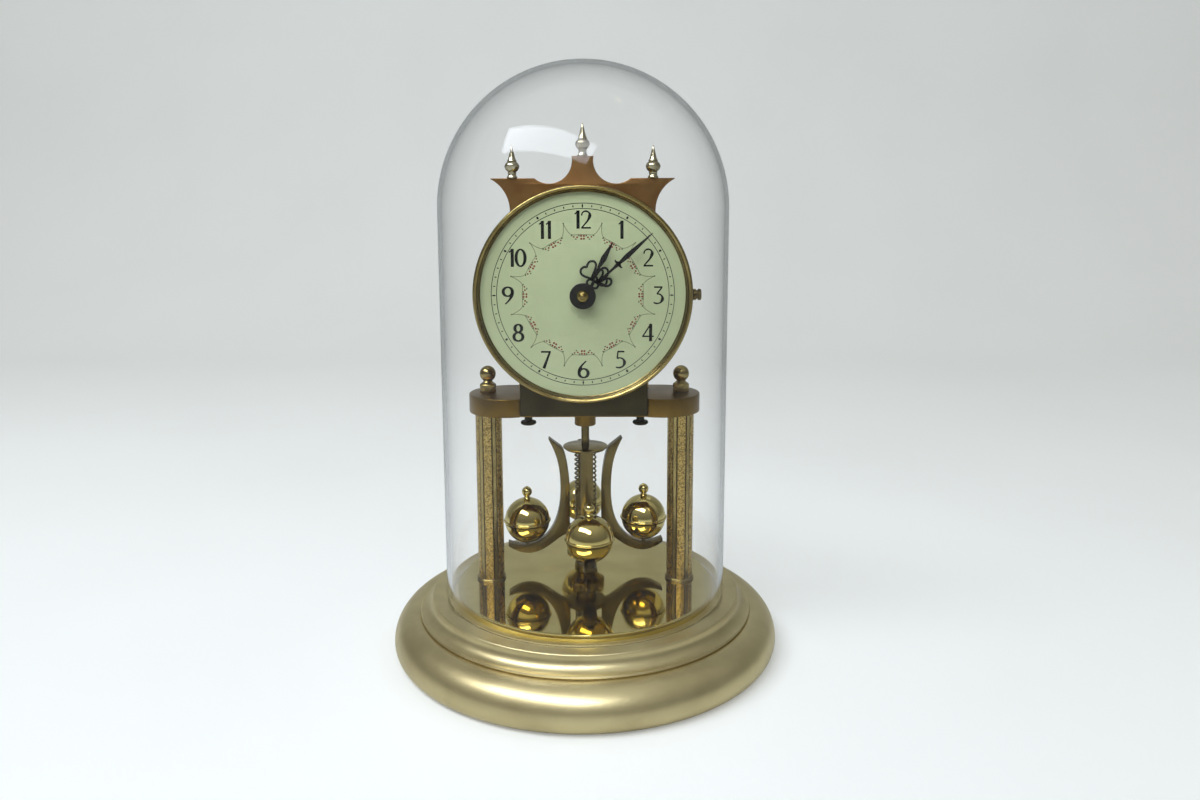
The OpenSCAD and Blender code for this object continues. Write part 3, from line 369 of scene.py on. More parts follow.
# Inks of the dial, printed with a soft pad
BLACK_INK = Finish("black_dial_ink", "#0B0B08", "#14130F", 0.0, 0.45, 3.0, (("Specular IOR Level", 0.3),))
ROSE_INK = Finish("rose_dial_ink", "#823A2E", "#682A22", 0.0, 0.45, 0.7)
LEAF_INK = Finish("leaf_dial_ink", "#505238", "#3A3C28", 0.0, 0.45, 0.8)
# Stamped steel hands, dipped in black lacquer
BLACK_LACQUER = Finish("black_lacquer_on_steel", "#0E0D0A", "#171510", 0.0, 0.42, 6.0,
                       (("Specular IOR Level", 0.35),))
# Ground and hardened steel
GROUND_STEEL = Brushed("ground_steel", "#A9A9A6", "#8C8C88", 1.0, 0.28, 12.0,
                       relief=replace(WHEEL_LINES, strength=0.12))
# Green-brown wool felt on the board below: matt, pressed from short crossed hairs
FELT = Finish("wool_felt", "#4A4A34", "#3A3A28", 0.0, 0.95, 8.0, spread=0.03,
              relief=Relief(0.8, 0.7, 0.3, 6.0, 1.5))
# Studio floor, rolled with matt paint
FLOOR_PAINT = Backdrop("matt_floor_paint", "#DCDEDB", "#D8DAD7", 0.0, 0.8, 220.0)


def arc(centre: Point, across: float, up: float, start: float, end: float, steps: int) -> list[Point]:
    """Points of an arc of an ellipse.

    Args:
        centre: Its centre.
        across: Half width.
        up: Half height.
        start: First angle in degrees.
        end: Last angle in degrees.
        steps: Number of chords.

    Returns:
        The points, both ends among them.
    """
    turns = [math.radians(start + (end - start) * i / steps) for i in range(steps + 1)]
    return [(centre[0] + across * math.cos(t), centre[1] + up * math.sin(t)) for t in turns]


def cubic(points: list[Point], steps: int) -> list[Point]:
    """Points of a cubic curve with four control points.

    Args:
        points: The control points.
        steps: Number of chords.

    Returns:
        The points, both ends among them.
    """
    a, b, c, d = [Vector(p) for p in points]
    found = []
    for i in range(steps + 1):
        t = i / steps
        s = 1 - t
        found.append(tuple(s * s * s * a + 3 * s * s * t * b + 3 * s * t * t * c + t * t * t * d))
    return found


def smooth(points: Stroke, steps: int, closed: bool = False) -> Stroke:
    """Runs a smooth curve through points, and blends their widths.

    Args:
        points: Points as (x, y, width).
        steps: Number of chords from point to point.
        closed: Whether the curve comes back to its first point.

    Returns:
        The finer points.
    """
    count = len(points)
    found = []
    for i in range(count if closed else count - 1):
        if closed:
            four = [Vector(points[(i + k) % count]) for k in (-1, 0, 1, 2)]
        else:
            four = [Vector(points[min(max(i + k, 0), count - 1)]) for k in (-1, 0, 1, 2)]
        a, b, c, d = four
        for k in range(steps):
            t = k / steps
            p = b + 0.5 * t * (c - a + t * (2 * a - 5 * b + 4 * c - d + t * (3 * b - a - 3 * c + d)))
            found.append(tuple(p))
    if not closed:
        found.append(points[-1])
    return found


@dataclass
class Shape:
    """Points in millimetres, and the faces between them."""

    points: list[Vector] = field(default_factory=list)
    faces: list[tuple[int, ...]] = field(default_factory=list)
    kinds: list[int] = field(default_factory=list)

    def add(self, other: "Shape", matrix: Matrix | None = None, kind: int = 0) -> "Shape":
        """Adds another shape to this one.

        Args:
            other: The shape to add.
            matrix: Where it goes.
            kind: Number of the material that its faces get, added to their own.

        Returns:
            This shape.
        """
        first = len(self.points)
        self.points += [matrix @ p for p in other.points] if matrix else [p.copy() for p in other.points]
        self.faces += [tuple(first + i for i in f) for f in other.faces]
        self.kinds += [kind + k for k in other.kinds]
        return self

    def face(self, corners: tuple[int, ...], kind: int = 0) -> None:
        """Adds one face with the number of its material."""
        self.faces.append(corners)
        self.kinds.append(kind)

    def moved(self, matrix: Matrix) -> "Shape":
        """Gives a copy of this shape at another place."""
        return Shape().add(self, matrix)

    def pair(self, x: float, y: float, z: float) -> "Shape":
        """Gives two copies of this shape, left and right of the middle."""
        return self.moved(at(-x, y, z)).add(self, at(x, y, z))

    def paint(self, choose: Callable[[Vector], int]) -> "Shape":
        """Gives each face the material that a rule picks for its middle.

        Args:
            choose: Gives the number of the material for the middle of a face.

        Returns:
            This shape.
        """
        for index, corners in enumerate(self.faces):
            middle = sum((self.points[i] for i in corners), Vector()) / len(corners)
            self.kinds[index] = choose(middle)
        return self

    @staticmethod
    def turned(profile: list[Point], steps: int = 96, wave: Wave | None = None,
               closed: bool = False) -> "Shape":
        """Turns a profile about the Z axis, as on a lathe.

        Args:
            profile: Points as (radius, height), from the bottom outside to the top.
            steps: Number of facets round the axis.
            wave: Changes a radius by (angle in degrees, radius, height), for flutes and knurls.
            closed: Whether the last point joins the first, as in a ring.

        Returns:
            The turned shape.
        """
        shape = Shape()
        rings = []
        for radius, height in profile:
            if radius < TINY:
                rings.append([len(shape.points)] * steps)
                shape.points.append(Vector((0, 0, height)))
                continue
            ring = []
            for i in range(steps):
                degrees = 360 * i / steps
                r = wave(degrees, radius, height) if wave else radius
                t = math.radians(degrees)
                ring.append(len(shape.points))
                shape.points.append(Vector((r * math.cos(t), r * math.sin(t), height)))
            rings.append(ring)
        pairs = list(zip(rings, rings[1:]))
        if closed:
            pairs.append((rings[-1], rings[0]))
        for low, high in pairs:
            for i in range(steps):
                j = (i + 1) % steps
                corners = (low[i], low[j], high[j], high[i])
                unique = tuple(dict.fromkeys(corners))
                if len(unique) > 2:
                    shape.face(unique)
        return shape

    @staticmethod
    def plate(outlines: list[list[Point]], thickness: float, bevel: float) -> "Shape":
        """Cuts a plate with rounded edges, flat in XY and centred on Z, from an outline and its holes.

        Args:
            outlines: The outline first, then the holes.
            thickness: Thickness of the plate.
            bevel: Radius of its edges.

        Returns:
            The plate.
        """
        curve = bpy.data.curves.new("outline", "CURVE")
        curve.dimensions = "2D"
        curve.fill_mode = "BOTH"
        curve.extrude = thickness / 2 - bevel
        curve.bevel_depth = bevel
        curve.bevel_resolution = 2
        curve.offset = -bevel
        for outline in outlines:
            spline = curve.splines.new("POLY")
            spline.points.add(len(outline) - 1)
            for point, (x, y) in zip(spline.points, outline):
                point.co = (x, y, 0, 1)
            spline.use_cyclic_u = True
        blank = bpy.data.objects.new("outline", curve)
        bpy.context.scene.collection.objects.link(blank)
        bpy.context.view_layer.update()
        mesh = bpy.data.meshes.new_from_object(blank.evaluated_get(bpy.context.evaluated_depsgraph_get()))
        made = bmesh.new()
        made.from_mesh(mesh)
        bmesh.ops.remove_doubles(made, verts=made.verts, dist=WELD)
        bmesh.ops.recalc_face_normals(made, faces=made.faces)
        made.verts.ensure_lookup_table()
        shape = Shape([v.co.copy() for v in made.verts])
        for f in made.faces:
            shape.face(tuple(v.index for v in f.verts))
        made.free()
        bpy.data.objects.remove(blank)
        bpy.data.curves.remove(curve)
        bpy.data.meshes.remove(mesh)
        return shape

    @staticmethod
    def ribbon(path: Stroke, thickness: float, closed: bool = False) -> "Shape":
        """Lays a flat ribbon of changing width along a path in XY, from Z 0 up to its thickness.

        Args:
            path: Points as (x, y, width).
            thickness: Thickness of the ribbon.
            closed: Whether it comes back to its first point.

        Returns:
            The ribbon.
        """
        shape = Shape()
        count = len(path)
        for i, (x, y, width) in enumerate(path):
            after = path[(i + 1) % count] if closed else path[min(i + 1, count - 1)]
            before = path[i - 1] if closed or i else path[0]
            way = Vector((after[0] - before[0], after[1] - before[1]))
            way = way.normalized() if way.length > TINY else Vector((0, 1))
            side = Vector((-way.y, way.x)) * width / 2
            for z in (0.0, thickness):
                shape.points.append(Vector((x + side.x, y + side.y, z)))
                shape.points.append(Vector((x - side.x, y - side.y, z)))
        for i in range(count if closed else count - 1):
            a = 4 * i
            b = 4 * ((i + 1) % count)
            shape.face((a + 3, b + 3, b + 2, a + 2))
            shape.face((a, b, b + 1, a + 1))
            shape.face((a + 2, b + 2, b, a))
            shape.face((a + 1, b + 1, b + 3, a + 3))
        if not closed:
            shape.face((0, 1, 3, 2))
            last = 4 * (count - 1)
            shape.face((last, last + 2, last + 3, last + 1))
        return shape

    @staticmethod
    def tube(path: list[Vector], radius: float, sides: int = 12) -> "Shape":
        """Sweeps a round wire along a path.

        Args:
            path: Points of the middle of the wire.
            radius: Radius of the wire.
            sides: Facets round the wire.

        Returns:
            The wire, closed at both ends.
        """
        shape = Shape()
        for i, p in enumerate(path):
            way = (path[min(i + 1, len(path) - 1)] - path[max(i - 1, 0)]).normalized()
            out = Vector((p.x, p.y, 0)).normalized()
            u = (out - out.dot(way) * way).normalized()
            v = way.cross(u)
            for k in range(sides):
                t = 2 * math.pi * k / sides
                shape.points.append(p + radius * (math.cos(t) * u + math.sin(t) * v))
        for i in range(len(path) - 1):
            for k in range(sides):
                a = i * sides + k
                b = i * sides + (k + 1) % sides
                shape.face((a, b, b + sides, a + sides))
        last = (len(path) - 1) * sides
        shape.face(tuple(range(sides - 1, -1, -1)))
        shape.face(tuple(range(last, last + sides)))
        return shape


FACE_ON = Matrix.Rotation(math.pi / 2, 4, "X")


def at(x: float, y: float, z: float) -> Matrix:
    """Gives the move to a place in millimetres."""
    return Matrix.Translation((x, y, z))


def facing(x: float, y: float, z: float, turn: float = 0.0) -> Matrix:
    """Stands a flat drawing upright at a place, facing the front.

    Args:
        x: Place along X.
        y: Place of its back along Y.
        z: Height of its origin.
        turn: Turn of the drawing in degrees, clockwise as the viewer sees it.

    Returns:
        The move.
    """
    return at(x, y, z) @ FACE_ON @ Matrix.Rotation(-math.radians(turn), 4, "Z")


def knurled(depth: float, pitch: float, beyond: float = 0.0, below: float = math.inf) -> Wave:
    """Makes the wave of a straight knurl, for those rings of a profile that carry it.

    Args:
        depth: Depth of the grooves.
        pitch: Width of a groove or of a ridge, in degrees.
        beyond: Rings with a larger radius carry it.
        below: Rings at a lower height carry it.

    Returns:
        The wave.
    """
    def wave(degrees: float, radius: float, height: float) -> float:
        """Radius with the knurl."""
        cut = radius > beyond and height < below and int(degrees / pitch) % 2
        return radius - depth if cut else radius
    return wave


def place(name: str, shape: Shape, finishes: list[Finish], body: str, slot: str,
          stands_for: tuple[str, ...] = (), sharp: float = 35.0) -> bpy.types.Object:
    """Makes a piece of the object from a shape, and ties it to its CAD body.

    Args:
        name: Name of the piece.
        shape: Its shape in millimetres.
        finishes: Its finishes, in the order of the shape's material numbers.
        body: CAD body that it moves with.
        slot: Material slot of the record; not used.
        stands_for: CAD nodes that it stands for.
        sharp: Angle in degrees from which an edge stays sharp.

    Returns:
        The piece.
    """
    mesh = bpy.data.meshes.new(name)
    mesh.from_pydata([p * MM for p in shape.points], [], shape.faces)
    for finish in finishes:
        mesh.materials.append(finish.material())
    mesh.polygons.foreach_set("material_index", shape.kinds)
    mesh.polygons.foreach_set("use_smooth", [True] * len(shape.faces))
    made = bmesh.new()
    made.from_mesh(mesh)
    bmesh.ops.recalc_face_normals(made, faces=made.faces)
    made.to_mesh(mesh)
    made.free()
    mesh.set_sharp_from_angle(angle=math.radians(sharp))
    piece = bpy.data.objects.new(name, mesh)
    bpy.context.scene.collection.objects.link(piece)
    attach(piece, body)
    if stands_for:
        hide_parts(*stands_for)
    log.info("%s: %d faces, rides on %s", name, len(shape.faces), body)
    return piece


def dress(nodes: tuple[str, ...], finish: Finish) -> None:
    """Gives CAD nodes that keep their shape a finish.

    Args:
        nodes: Names of the nodes.
        finish: Their finish.
    """
    for name in nodes:
        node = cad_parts[name]
        if not node.material_slots:
            node.data.materials.append(None)
        for spot in node.material_slots:
            spot.material = finish.material()
        log.info("%s: CAD node in %s", name, finish.name)


@dataclass
class Base:
    """Spun base with its moulding, the floor plate and the board below."""

    radius: float = 98.3
    height: float = 28.5
    ledge: float = 78.9
    lip: float = 0.9
    wall: float = 1.5
    opening: float = 30.0
    seat_in: float = 68.7
    seat_out: float = 72.1
    seat_depth: float = 0.6

    def profile(self) -> list[Point]:
        """Outline of the moulding: foot, round nose, groove, cove, lip, ledge and seat, then the inside.

        Returns:
            Points as (radius, height) of a closed ring.
        """
        step = self.radius - self.ledge
        tuck = 0.36 * step
        nose = 0.67 * step
        low = 0.2456 * self.height
        rise = 0.456 * self.height
        top = low + rise
        foot = self.radius - tuck
        inner = self.radius - nose
        cove = inner - 0.7
        brow = self.height - self.lip
        outside = arc((foot, low), tuck, low, -90, 0, 14)
        outside += arc((inner, low), nose, rise, 0, 88, 36)[1:]
        outside += [(cove + 0.2, top - 0.2), (cove, top - 0.6), (cove - 0.15, top - 0.1)]
        outside += [(inner - 0.3, top + 0.55), (inner - 0.25, top + 0.8), (cove, top + 1.5)]
        outside += arc((cove, brow - 0.3), self.ledge - cove, top + 1.8 - brow, 88, 8, 20)
        outside += arc((self.ledge - self.lip, brow), self.lip, self.lip, -10, 90, 8)
        seat = self.height - self.seat_depth
        ledge = [(self.seat_out, self.height), (self.seat_out, seat)]
        ledge += [(self.seat_in, seat), (self.seat_in, self.height)]
        wall = self.wall
        under = self.height - wall
        inside = [(self.opening, self.height), (self.opening, under), (self.ledge - wall, under)]
        inside += [(cove - wall, top - wall), (inner, top - wall)]
        inside += arc((inner, low), nose - wall, rise - wall, 80, 0, 12)
        inside += arc((foot, low), tuck - wall, low - wall, 0, -80, 6) + [(foot - wall, 0.0)]
        return outside + ledge + inside

    def build(self) -> None:
        """Builds the spun base and the guide cup, and dresses floor plate and board."""
        shape = Shape.turned(self.profile(), 192, closed=True)
        place("base_moulding", shape, [GOLD_PAINT], "frame", "gold_paint", ("base_shell",), sharp=28)
        dress(("base_cover",), FELT)
        dress(("floor_plate",), MIRROR_BRASS)
        dress(("tie_rods", "tie_nuts"), GROUND_STEEL)
        cup = [(0, 0), (5.7, 0), (6.0, 0.3), (6.0, 1.8), (5.6, 2.2), (3.9, 2.2)]
        cup += [(3.4, 1.9), (3.4, 0.4), (0, 0.4)]
        shape = Shape.turned(cup, 64).moved(at(0, AXIS_Y, FLOOR_Z))
        place("guide_cup_turned", shape, [POLISHED_BRASS], "frame", "brass", ("guide_cup",))


@dataclass
class Dome:
    """Blown glass dome with a ground rim."""

    radius: float = 71.5
    wall: float = 2.2
    height: float = 266.0
    bottom: float = 27.9

    def build(self) -> None:
        """Builds the dome, which lets the lamps' light through without a shadow."""
        straight = self.height - self.radius
        inner = self.radius - self.wall
        half = self.wall / 2
        low = 2 * self.wall
        high = straight - self.wall
        profile = arc((self.radius - half, half), half, half, 180, 360, 12)
        profile += [(self.radius, low), (self.radius, high)]
        profile += arc((0, straight), self.radius, self.radius, 0, 90, 56)
        profile += arc((0, straight), inner, inner, 90, 0, 56) + [(inner, high), (inner, low)]
        shape = Shape.turned(profile, 192, closed=True).moved(at(0, 0, self.bottom))
        piece = place("glass_dome_blown", shape, [CLEAR_GLASS], "dome", "glass", ("glass_dome",), sharp=60)
        piece.visible_shadow = False


@dataclass
class Pillars:
    """Two punched pillars with foot rings, the platform on them and what sits on it."""

    span: float = 98.4
    radius: float = 6.75
    edge: float = 0.25
    bands: int = 6
    flute: float = 10.0
    groove: float = 2.6
    groove_depth: float = 0.55
    guide: float = 11.6
    thumb_x: float = 28.3
    thumb_y: float = -5.0
    thumb_neck: float = 6.6

    def off_groove(self, degrees: float) -> float:
        """Angle from the middle of the nearest groove, below zero on the ridge inside a pair of grooves.

        Args:
            degrees: Angle round the pillar.

        Returns:
            The angle in degrees.
        """
        pitch = 360 / self.bands
        return abs((degrees + pitch / 2) % pitch - pitch / 2) - self.flute

    def fluted(self, degrees: float, radius: float, height: float) -> float:
        """Radius of a pillar with its pairs of grooves.

        Args:
            degrees: Angle round the pillar.
            radius: Plain radius there.
            height: Height, which changes nothing.

        Returns:
            The radius with the groove.
        """
        off = self.off_groove(degrees) / self.groove
        return radius - self.groove_depth * max(0.0, 1 - off * off)

    def band(self, middle: Vector) -> int:
        """Number of a face's finish: 0 on a ridge, 1 on a punched band, 2 in a groove."""
        off = self.off_groove(math.degrees(math.atan2(middle.y, middle.x)))
        if abs(off) < self.groove - 0.5:
            return 2
        return 0 if off < 0 else 1

    def build(self) -> None:
        """Builds pillars, foot rings, platform, ball nuts, thumb screws and guide tube."""
        height = PLATFORM_Z - FLOOR_Z
        profile = [(self.radius - self.edge, 0.0), (self.radius, self.edge)]
        profile += [(self.radius, height * i / 8) for i in range(1, 9)]
        pillar = Shape.turned(profile, 360, self.fluted).paint(self.band)
        # The grooves take the darker brass as painted shade
        finishes = [POLISHED_BRASS, STIPPLED_BRASS, SHADE_TONED_BRASS]
        for side, name in ((-1, "left"), (1, "right")):
            shape = pillar.moved(at(side * self.span / 2, 0, FLOOR_Z))
            place("pillar_punched_" + name, shape, finishes, "frame", "brass", ("pillar_" + name,), sharp=30)
        inner = self.radius + 0.1
        ring = [(inner, 0.0), (inner + 0.45, 0.03)] + arc((inner, 0.75), 0.75, 0.7, -60, 90, 12)
        shape = Shape.turned(ring, 96).pair(self.span / 2, 0, FLOOR_Z)
        place("pillar_foot_rings_turned", shape, [POLISHED_BRASS], "frame", "brass", ("pillar_foot_rings",))
        self.build_platform()
        self.build_nuts()
        self.build_guide()

    def build_platform(self) -> None:
        """Builds the platform bar with round ends, a notch for the front plate and an ear for the guide."""
        end = 38.7
        half = 20.0
        notch = (31.1, -18.0)
        ear = 6.8
        hole = 3.0
        bevel = 0.35
        outline = [(-notch[0], notch[1]), notch] + arc((end, 0), half, half, -112.3, 90, 46)
        outline += arc((0, AXIS_Y), ear, ear, 36, 144, 20)
        outline += arc((-end, 0), half, half, 90, 292.3, 46)
        bore = arc((0, AXIS_Y), hole, hole, 0, 345, 23)
        thickness = DECK_Z - PLATFORM_Z
        shape = Shape.plate([outline, bore], thickness, bevel).moved(at(0, 0, PLATFORM_Z + thickness / 2))
        place("platform_bar", shape, [BRUSHED_BRASS], "frame", "bronzed_brass", ("platform",))

    def build_nuts(self) -> None:
        """Builds the ball nuts over the pillars and the knurled thumb screws below the platform."""
        foot = 4.6
        r = 4.1
        profile = [(0, 0), (3.8, 0), (r, 0.3), (r, 1.5), (3.7, 1.8), (3.7, 2.1), (r, 2.4), (r, 4.0)]
        profile += [(3.6, foot), (3.1, 4.9), (2.6, 5.3)] + arc((0, foot + r * 1.2), r, r, -58, 90, 24)
        nut = Shape.turned(profile, 160, knurled(0.16, 4.5, below=4.2))
        shape = nut.pair(self.span / 2, 0, DECK_Z)
        place("ball_nuts_turned", shape, [POLISHED_BRASS], "frame", "brass", ("ball_nuts",), sharp=30)
        head = [(0, 0), (2.6, 0), (3.1, 0.1), (3.9, 0.7), (3.9, 1.5), (3.5, 1.95), (2.2, 2.1), (2.0, 2.6)]
        neck = self.thumb_neck
        head += [(2.0, neck), (1.6, neck), (1.6, 22.0), (0, 22.0)]
        screw = Shape.turned(head, 144, knurled(0.2, 5, beyond=3.4))
        shape = screw.pair(self.thumb_x, self.thumb_y, PLATFORM_Z - neck)
        # The thumb screws are painted dark as shade, for where they sit under the platform
        place("thumb_screws_knurled", shape, [SHADE_PAINTED_BRASS], "frame", "brass", ("thumb_screws",), sharp=30)

    def build_guide(self) -> None:
        """Builds the collar that guides the pendulum rod below the platform."""
        length = self.guide
        profile = [(3.0, 0.3), (3.3, 0.0), (5.2, 0.0), (5.6, 0.4), (5.6, length - 0.6), (5.6, length)]
        shape = Shape.turned(profile + [(3.0, length)], 72, closed=True)
        shape = shape.moved(at(0, AXIS_Y, PLATFORM_Z - length))
        place("guide_collar", shape, [BRUSHED_BRASS], "frame", "brass", ("guide_tube",))


@dataclass
class Movement:
    """Front plate with its horned crown and finials, and the wheels between the plates."""

    horn: float = 237.0
    horn_x: float = 33.2
    peak: float = 247.3
    apron: float = 122.6
    split: float = 148.7
    half: float = 31.0
    thickness: float = 2.0
    bevel: float = 0.25

    def crown(self) -> list[Point]:
        """Outline of the front plate with horns, scallops and a middle peak.

        Returns:
            Points as (x, z), counter-clockwise.
        """
        shoulder = (34.4, self.split + 12)
        flank = (50.4, self.horn - 15.3)
        flank_across = 16
        flank_up = 16.63
        tip = (43.3, self.horn)
        scallop = (15.8, self.peak - 2)
        scallop_r = 10.8
        side = [(self.half, self.split), shoulder]
        side += arc(flank, flank_across, flank_up, 180, 116.4, 24) + [tip]
        side += arc(scallop, scallop_r, scallop_r, -50.2, -190.7, 44)
        return side + [(-x, z) for x, z in reversed(side)]

    def build(self) -> None:
        """Builds crown and finials, and dresses the movement that shows behind them."""
        apron = [(self.half, self.apron), (self.half, self.split)]
        apron += [(-self.half, self.split), (-self.half, self.apron)]
        shape = Shape()
        for kind, outline in enumerate((self.crown(), apron)):
            shape.add(Shape.plate([outline], self.thickness, self.bevel), facing(0, PLATE_Y, 0), kind)
        # The apron below the dial is painted dark as shade; the crown keeps the bronzed brass
        finishes = [BRONZED_BRASS, SHADE_PAINTED_BRASS]
        place("front_plate_crown", shape, finishes, "frame", "bronzed_brass", ("front_plate",))
        profile = [(0, 0), (2.4, 0), (2.5, 0.25), (2.45, 0.6), (2.1, 1.1), (1.9, 1.6), (1.92, 2.2)]
        profile += [(2.1, 2.7)] + arc((0, 5.4), 3.4, 2.9, -58, -8, 14) + [(3.5, 5.2), (3.5, 5.9)]
        profile += arc((0, 5.6), 3.4, 2.6, 10, 48, 10) + [(2.1, 7.75), (2.25, 7.95), (2.2, 8.25)]
        profile += [(1.85, 8.7), (1.45, 10.0), (0.75, 13.0), (0.3, 14.9), (0, 15.2)]
        spire = Shape.turned(profile, 64)
        shape = spire.pair(self.horn_x, PLATE_Y, self.horn).add(spire, at(0, PLATE_Y, self.peak))
        place("crown_finials_turned", shape, [PALE_GOLD], "frame", "brass", ("crown_finials",), sharp=40)
        dress(("back_plate",), BRONZED_BRASS)
        dress(("distance_bars", "dial_posts", "cannon_pinion", "minute_wheel", "hour_wheel", "centre_wheel",
               "third_wheel", "second_wheel", "mainspring_barrel", "fourth_wheel", "escape_wheel",
               "suspension_bracket", "suspension_top_block", "suspension_fork", "suspension_bottom_block"),
              GROUND_BRASS)
        dress(("back_plate_screws", "anchor", "winding_arbor", "ratchet_wheel", "click", "click_screw",
               "suspension_pin", "suspension_strip"), GROUND_STEEL)


@dataclass
class Dial:
    """Enamelled dial with its print, the bezel round it and its side screw."""

    front: float = -27.0
    track_out: float = 43.0
    track_in: float = 40.5
    track_line: float = 0.3
    cap: float = 8.4
    hours_at: float = 35.4
    thick: float = 0.175
    thin: float = 0.09
    swag_low: float = 28.5
    swag_rise: float = 6.0
    swag_half: float = 7.6
    swag_line: float = 0.2
    skin: float = 0.04
    bezel: float = 51.5
    bezel_back: float = -20.4
    bezel_deep: float = 10.0
    screw_x: float = 49.75
    screw_y: float = -23.6

    def ring(self, radius: float) -> Shape:
        """Prints a circle of the minute track.

        Args:
            radius: Its radius.

        Returns:
            The printed circle.
        """
        path = [(x, y, self.track_line) for x, y in arc((0, 0), radius, radius, 0, 358, 179)]
        return Shape.ribbon(path, self.skin, closed=True)

    def dot(self, x: float, y: float, across: float, up: float, turn: float, sides: int = 10) -> Shape:
        """Prints an oval dot or, with four sides, a diamond.

        Args:
            x: Place across the dial.
            y: Place up the dial.
            across: Half width.
            up: Half height.
            turn: Clockwise turn in degrees.
            sides: Number of corners.

        Returns:
            The printed dot.
        """
        t = math.radians(-turn)
        shape = Shape()
        for u, v in arc((0, 0), across, up, 0, 360 - 360 / sides, sides - 1):
            shape.points.append(Vector((x + u * math.cos(t) - v * math.sin(t),
                                        y + u * math.sin(t) + v * math.cos(t), self.skin)))
        shape.face(tuple(range(sides)))
        return shape

    def polar(self, radius: float, degrees: float) -> Point:
        """Place on the dial at a radius and at degrees after twelve."""
        t = math.radians(degrees)
        return (radius * math.sin(t), radius * math.cos(t))

    def oval(self, x: float, y: float, across: float, up: float) -> Shape:
        """Prints an oval of a figure, thick at its sides and thin at top and bottom.

        Args:
            x: Middle across.
            y: Middle up.
            across: Half width.
            up: Half height.

        Returns:
            The printed oval.
        """
        path = []
        steps = 40
        for i in range(steps):
            t = 2 * math.pi * i / steps
            width = self.thin + (self.thick - self.thin) * abs(math.cos(t)) ** 1.5
            path.append((x + across * math.cos(t), y + up * math.sin(t), width))
        return Shape.ribbon(path, self.skin, closed=True)

    def figure(self, digit: str) -> tuple[Shape, float]:
        """Draws one figure, one unit tall, with slim strokes of the thirties' kind.

        Args:
            digit: The figure.

        Returns:
            The shape and its width.
        """
        thick = self.thick
        thin = self.thin
        ovals = {
            "0": [(0.31, 0.5, 0.25, 0.465)],
            "6": [(0.31, 0.285, 0.255, 0.25)],
            "8": [(0.3, 0.75, 0.19, 0.215), (0.3, 0.27, 0.25, 0.24)],
            "9": [(0.31, 0.715, 0.255, 0.25)],
        }
        bent = {
            "2": [[(0.05, 0.72, 0.075), (0.1, 0.88, 0.07), (0.27, 0.965, thin), (0.46, 0.88, 0.09),
                   (0.5, 0.7, thick), (0.38, 0.44, 0.1), (0.18, 0.2, 0.08), (0.06, 0.06, 0.07)]],
            "3": [[(0.22, 0.575, thin), (0.38, 0.55, 0.075), (0.51, 0.42, 0.11), (0.52, 0.25, thick),
                   (0.4, 0.08, 0.085), (0.2, 0.035, thin), (0.03, 0.09, 0.07)]],
            "5": [[(0.11, 0.56, thin), (0.26, 0.6, 0.07), (0.44, 0.52, 0.1), (0.52, 0.33, thick),
                   (0.44, 0.13, 0.1), (0.24, 0.035, thin), (0.03, 0.06, 0.07)]],
            "6": [[(0.46, 0.985, 0.07), (0.24, 0.76, 0.1), (0.09, 0.5, thick), (0.055, 0.29, thick)]],
            "9": [[(0.16, 0.015, 0.07), (0.38, 0.24, 0.1), (0.53, 0.5, thick), (0.565, 0.71, thick)]],
        }
        straight = {
            "1": [[(0.24, 0.0, thick), (0.24, 1.0, thick)], [(0.26, 0.98, 0.07), (0.06, 0.8, 0.075)]],
            "2": [[(0.03, 0.045, 0.09), (0.56, 0.045, 0.09)]],
            "3": [[(0.06, 0.955, 0.085), (0.52, 0.955, 0.085)], [(0.5, 0.95, 0.075), (0.22, 0.575, thin)]],
            "4": [[(0.5, 1.0, 0.075), (0.04, 0.28, 0.075)], [(0.01, 0.28, 0.08), (0.66, 0.28, 0.08)],
                  [(0.48, 0.98, thick), (0.48, 0.0, thick)]],
            "5": [[(0.13, 0.955, 0.09), (0.51, 0.955, 0.09)], [(0.145, 0.96, 0.07), (0.11, 0.55, thin)]],
            "7": [[(0.02, 0.95, 0.1), (0.57, 0.95, 0.1)], [(0.53, 0.97, 0.1), (0.17, 0.0, thick)]],
        }
        widths = {"1": 0.32, "0": 0.62, "4": 0.66}
        shape = Shape()
        for x, y, across, up in ovals.get(digit, []):
            shape.add(self.oval(x, y, across, up))
        for path in bent.get(digit, []):
            shape.add(Shape.ribbon(smooth(path, 6), self.skin))
        for path in straight.get(digit, []):
            shape.add(Shape.ribbon(path, self.skin))
        return shape, widths.get(digit, 0.58)

    def numeral(self, hour: int) -> Shape:
        """Sets the figures of one hour upright at its place.

        Args:
            hour: Hour from 1 to 12.

        Returns:
            The printed numeral.
        """
        gap = 0.07
        drawn = [self.figure(digit) for digit in str(hour)]
        total = sum(width for _, width in drawn) + gap * (len(drawn) - 1)
        x, y = self.polar(self.hours_at, 30 * hour)
        shape = Shape()
        left = -total / 2
        for figure, width in drawn:
            flat = Matrix.Diagonal((self.cap, self.cap, 1, 1))
            shape.add(figure, at(x, y - self.cap / 2, 0) @ flat @ at(left, 0, 0))
            left += width + gap
        return shape

    def chapter(self) -> Shape:
        """Prints the minute track with its dots, diamonds and quarter marks, and the numerals.

        Returns:
            The black print.
        """
        quarter = (0.4, 1.2, 4)
        five = (0.5, 0.68, 12)
        single = (0.25, 0.55, 8)
        shape = self.ring(self.track_out).add(self.ring(self.track_in))
        middle = (self.track_out + self.track_in) / 2
        for minute in range(60):
            x, y = self.polar(middle, 6 * minute)
            across, up, sides = quarter if minute % 15 == 0 else five if minute % 5 == 0 else single
            shape.add(self.dot(x, y, across, up, 6 * minute, sides))
        for hour in range(1, 13):
            shape.add(self.numeral(hour))
        return shape

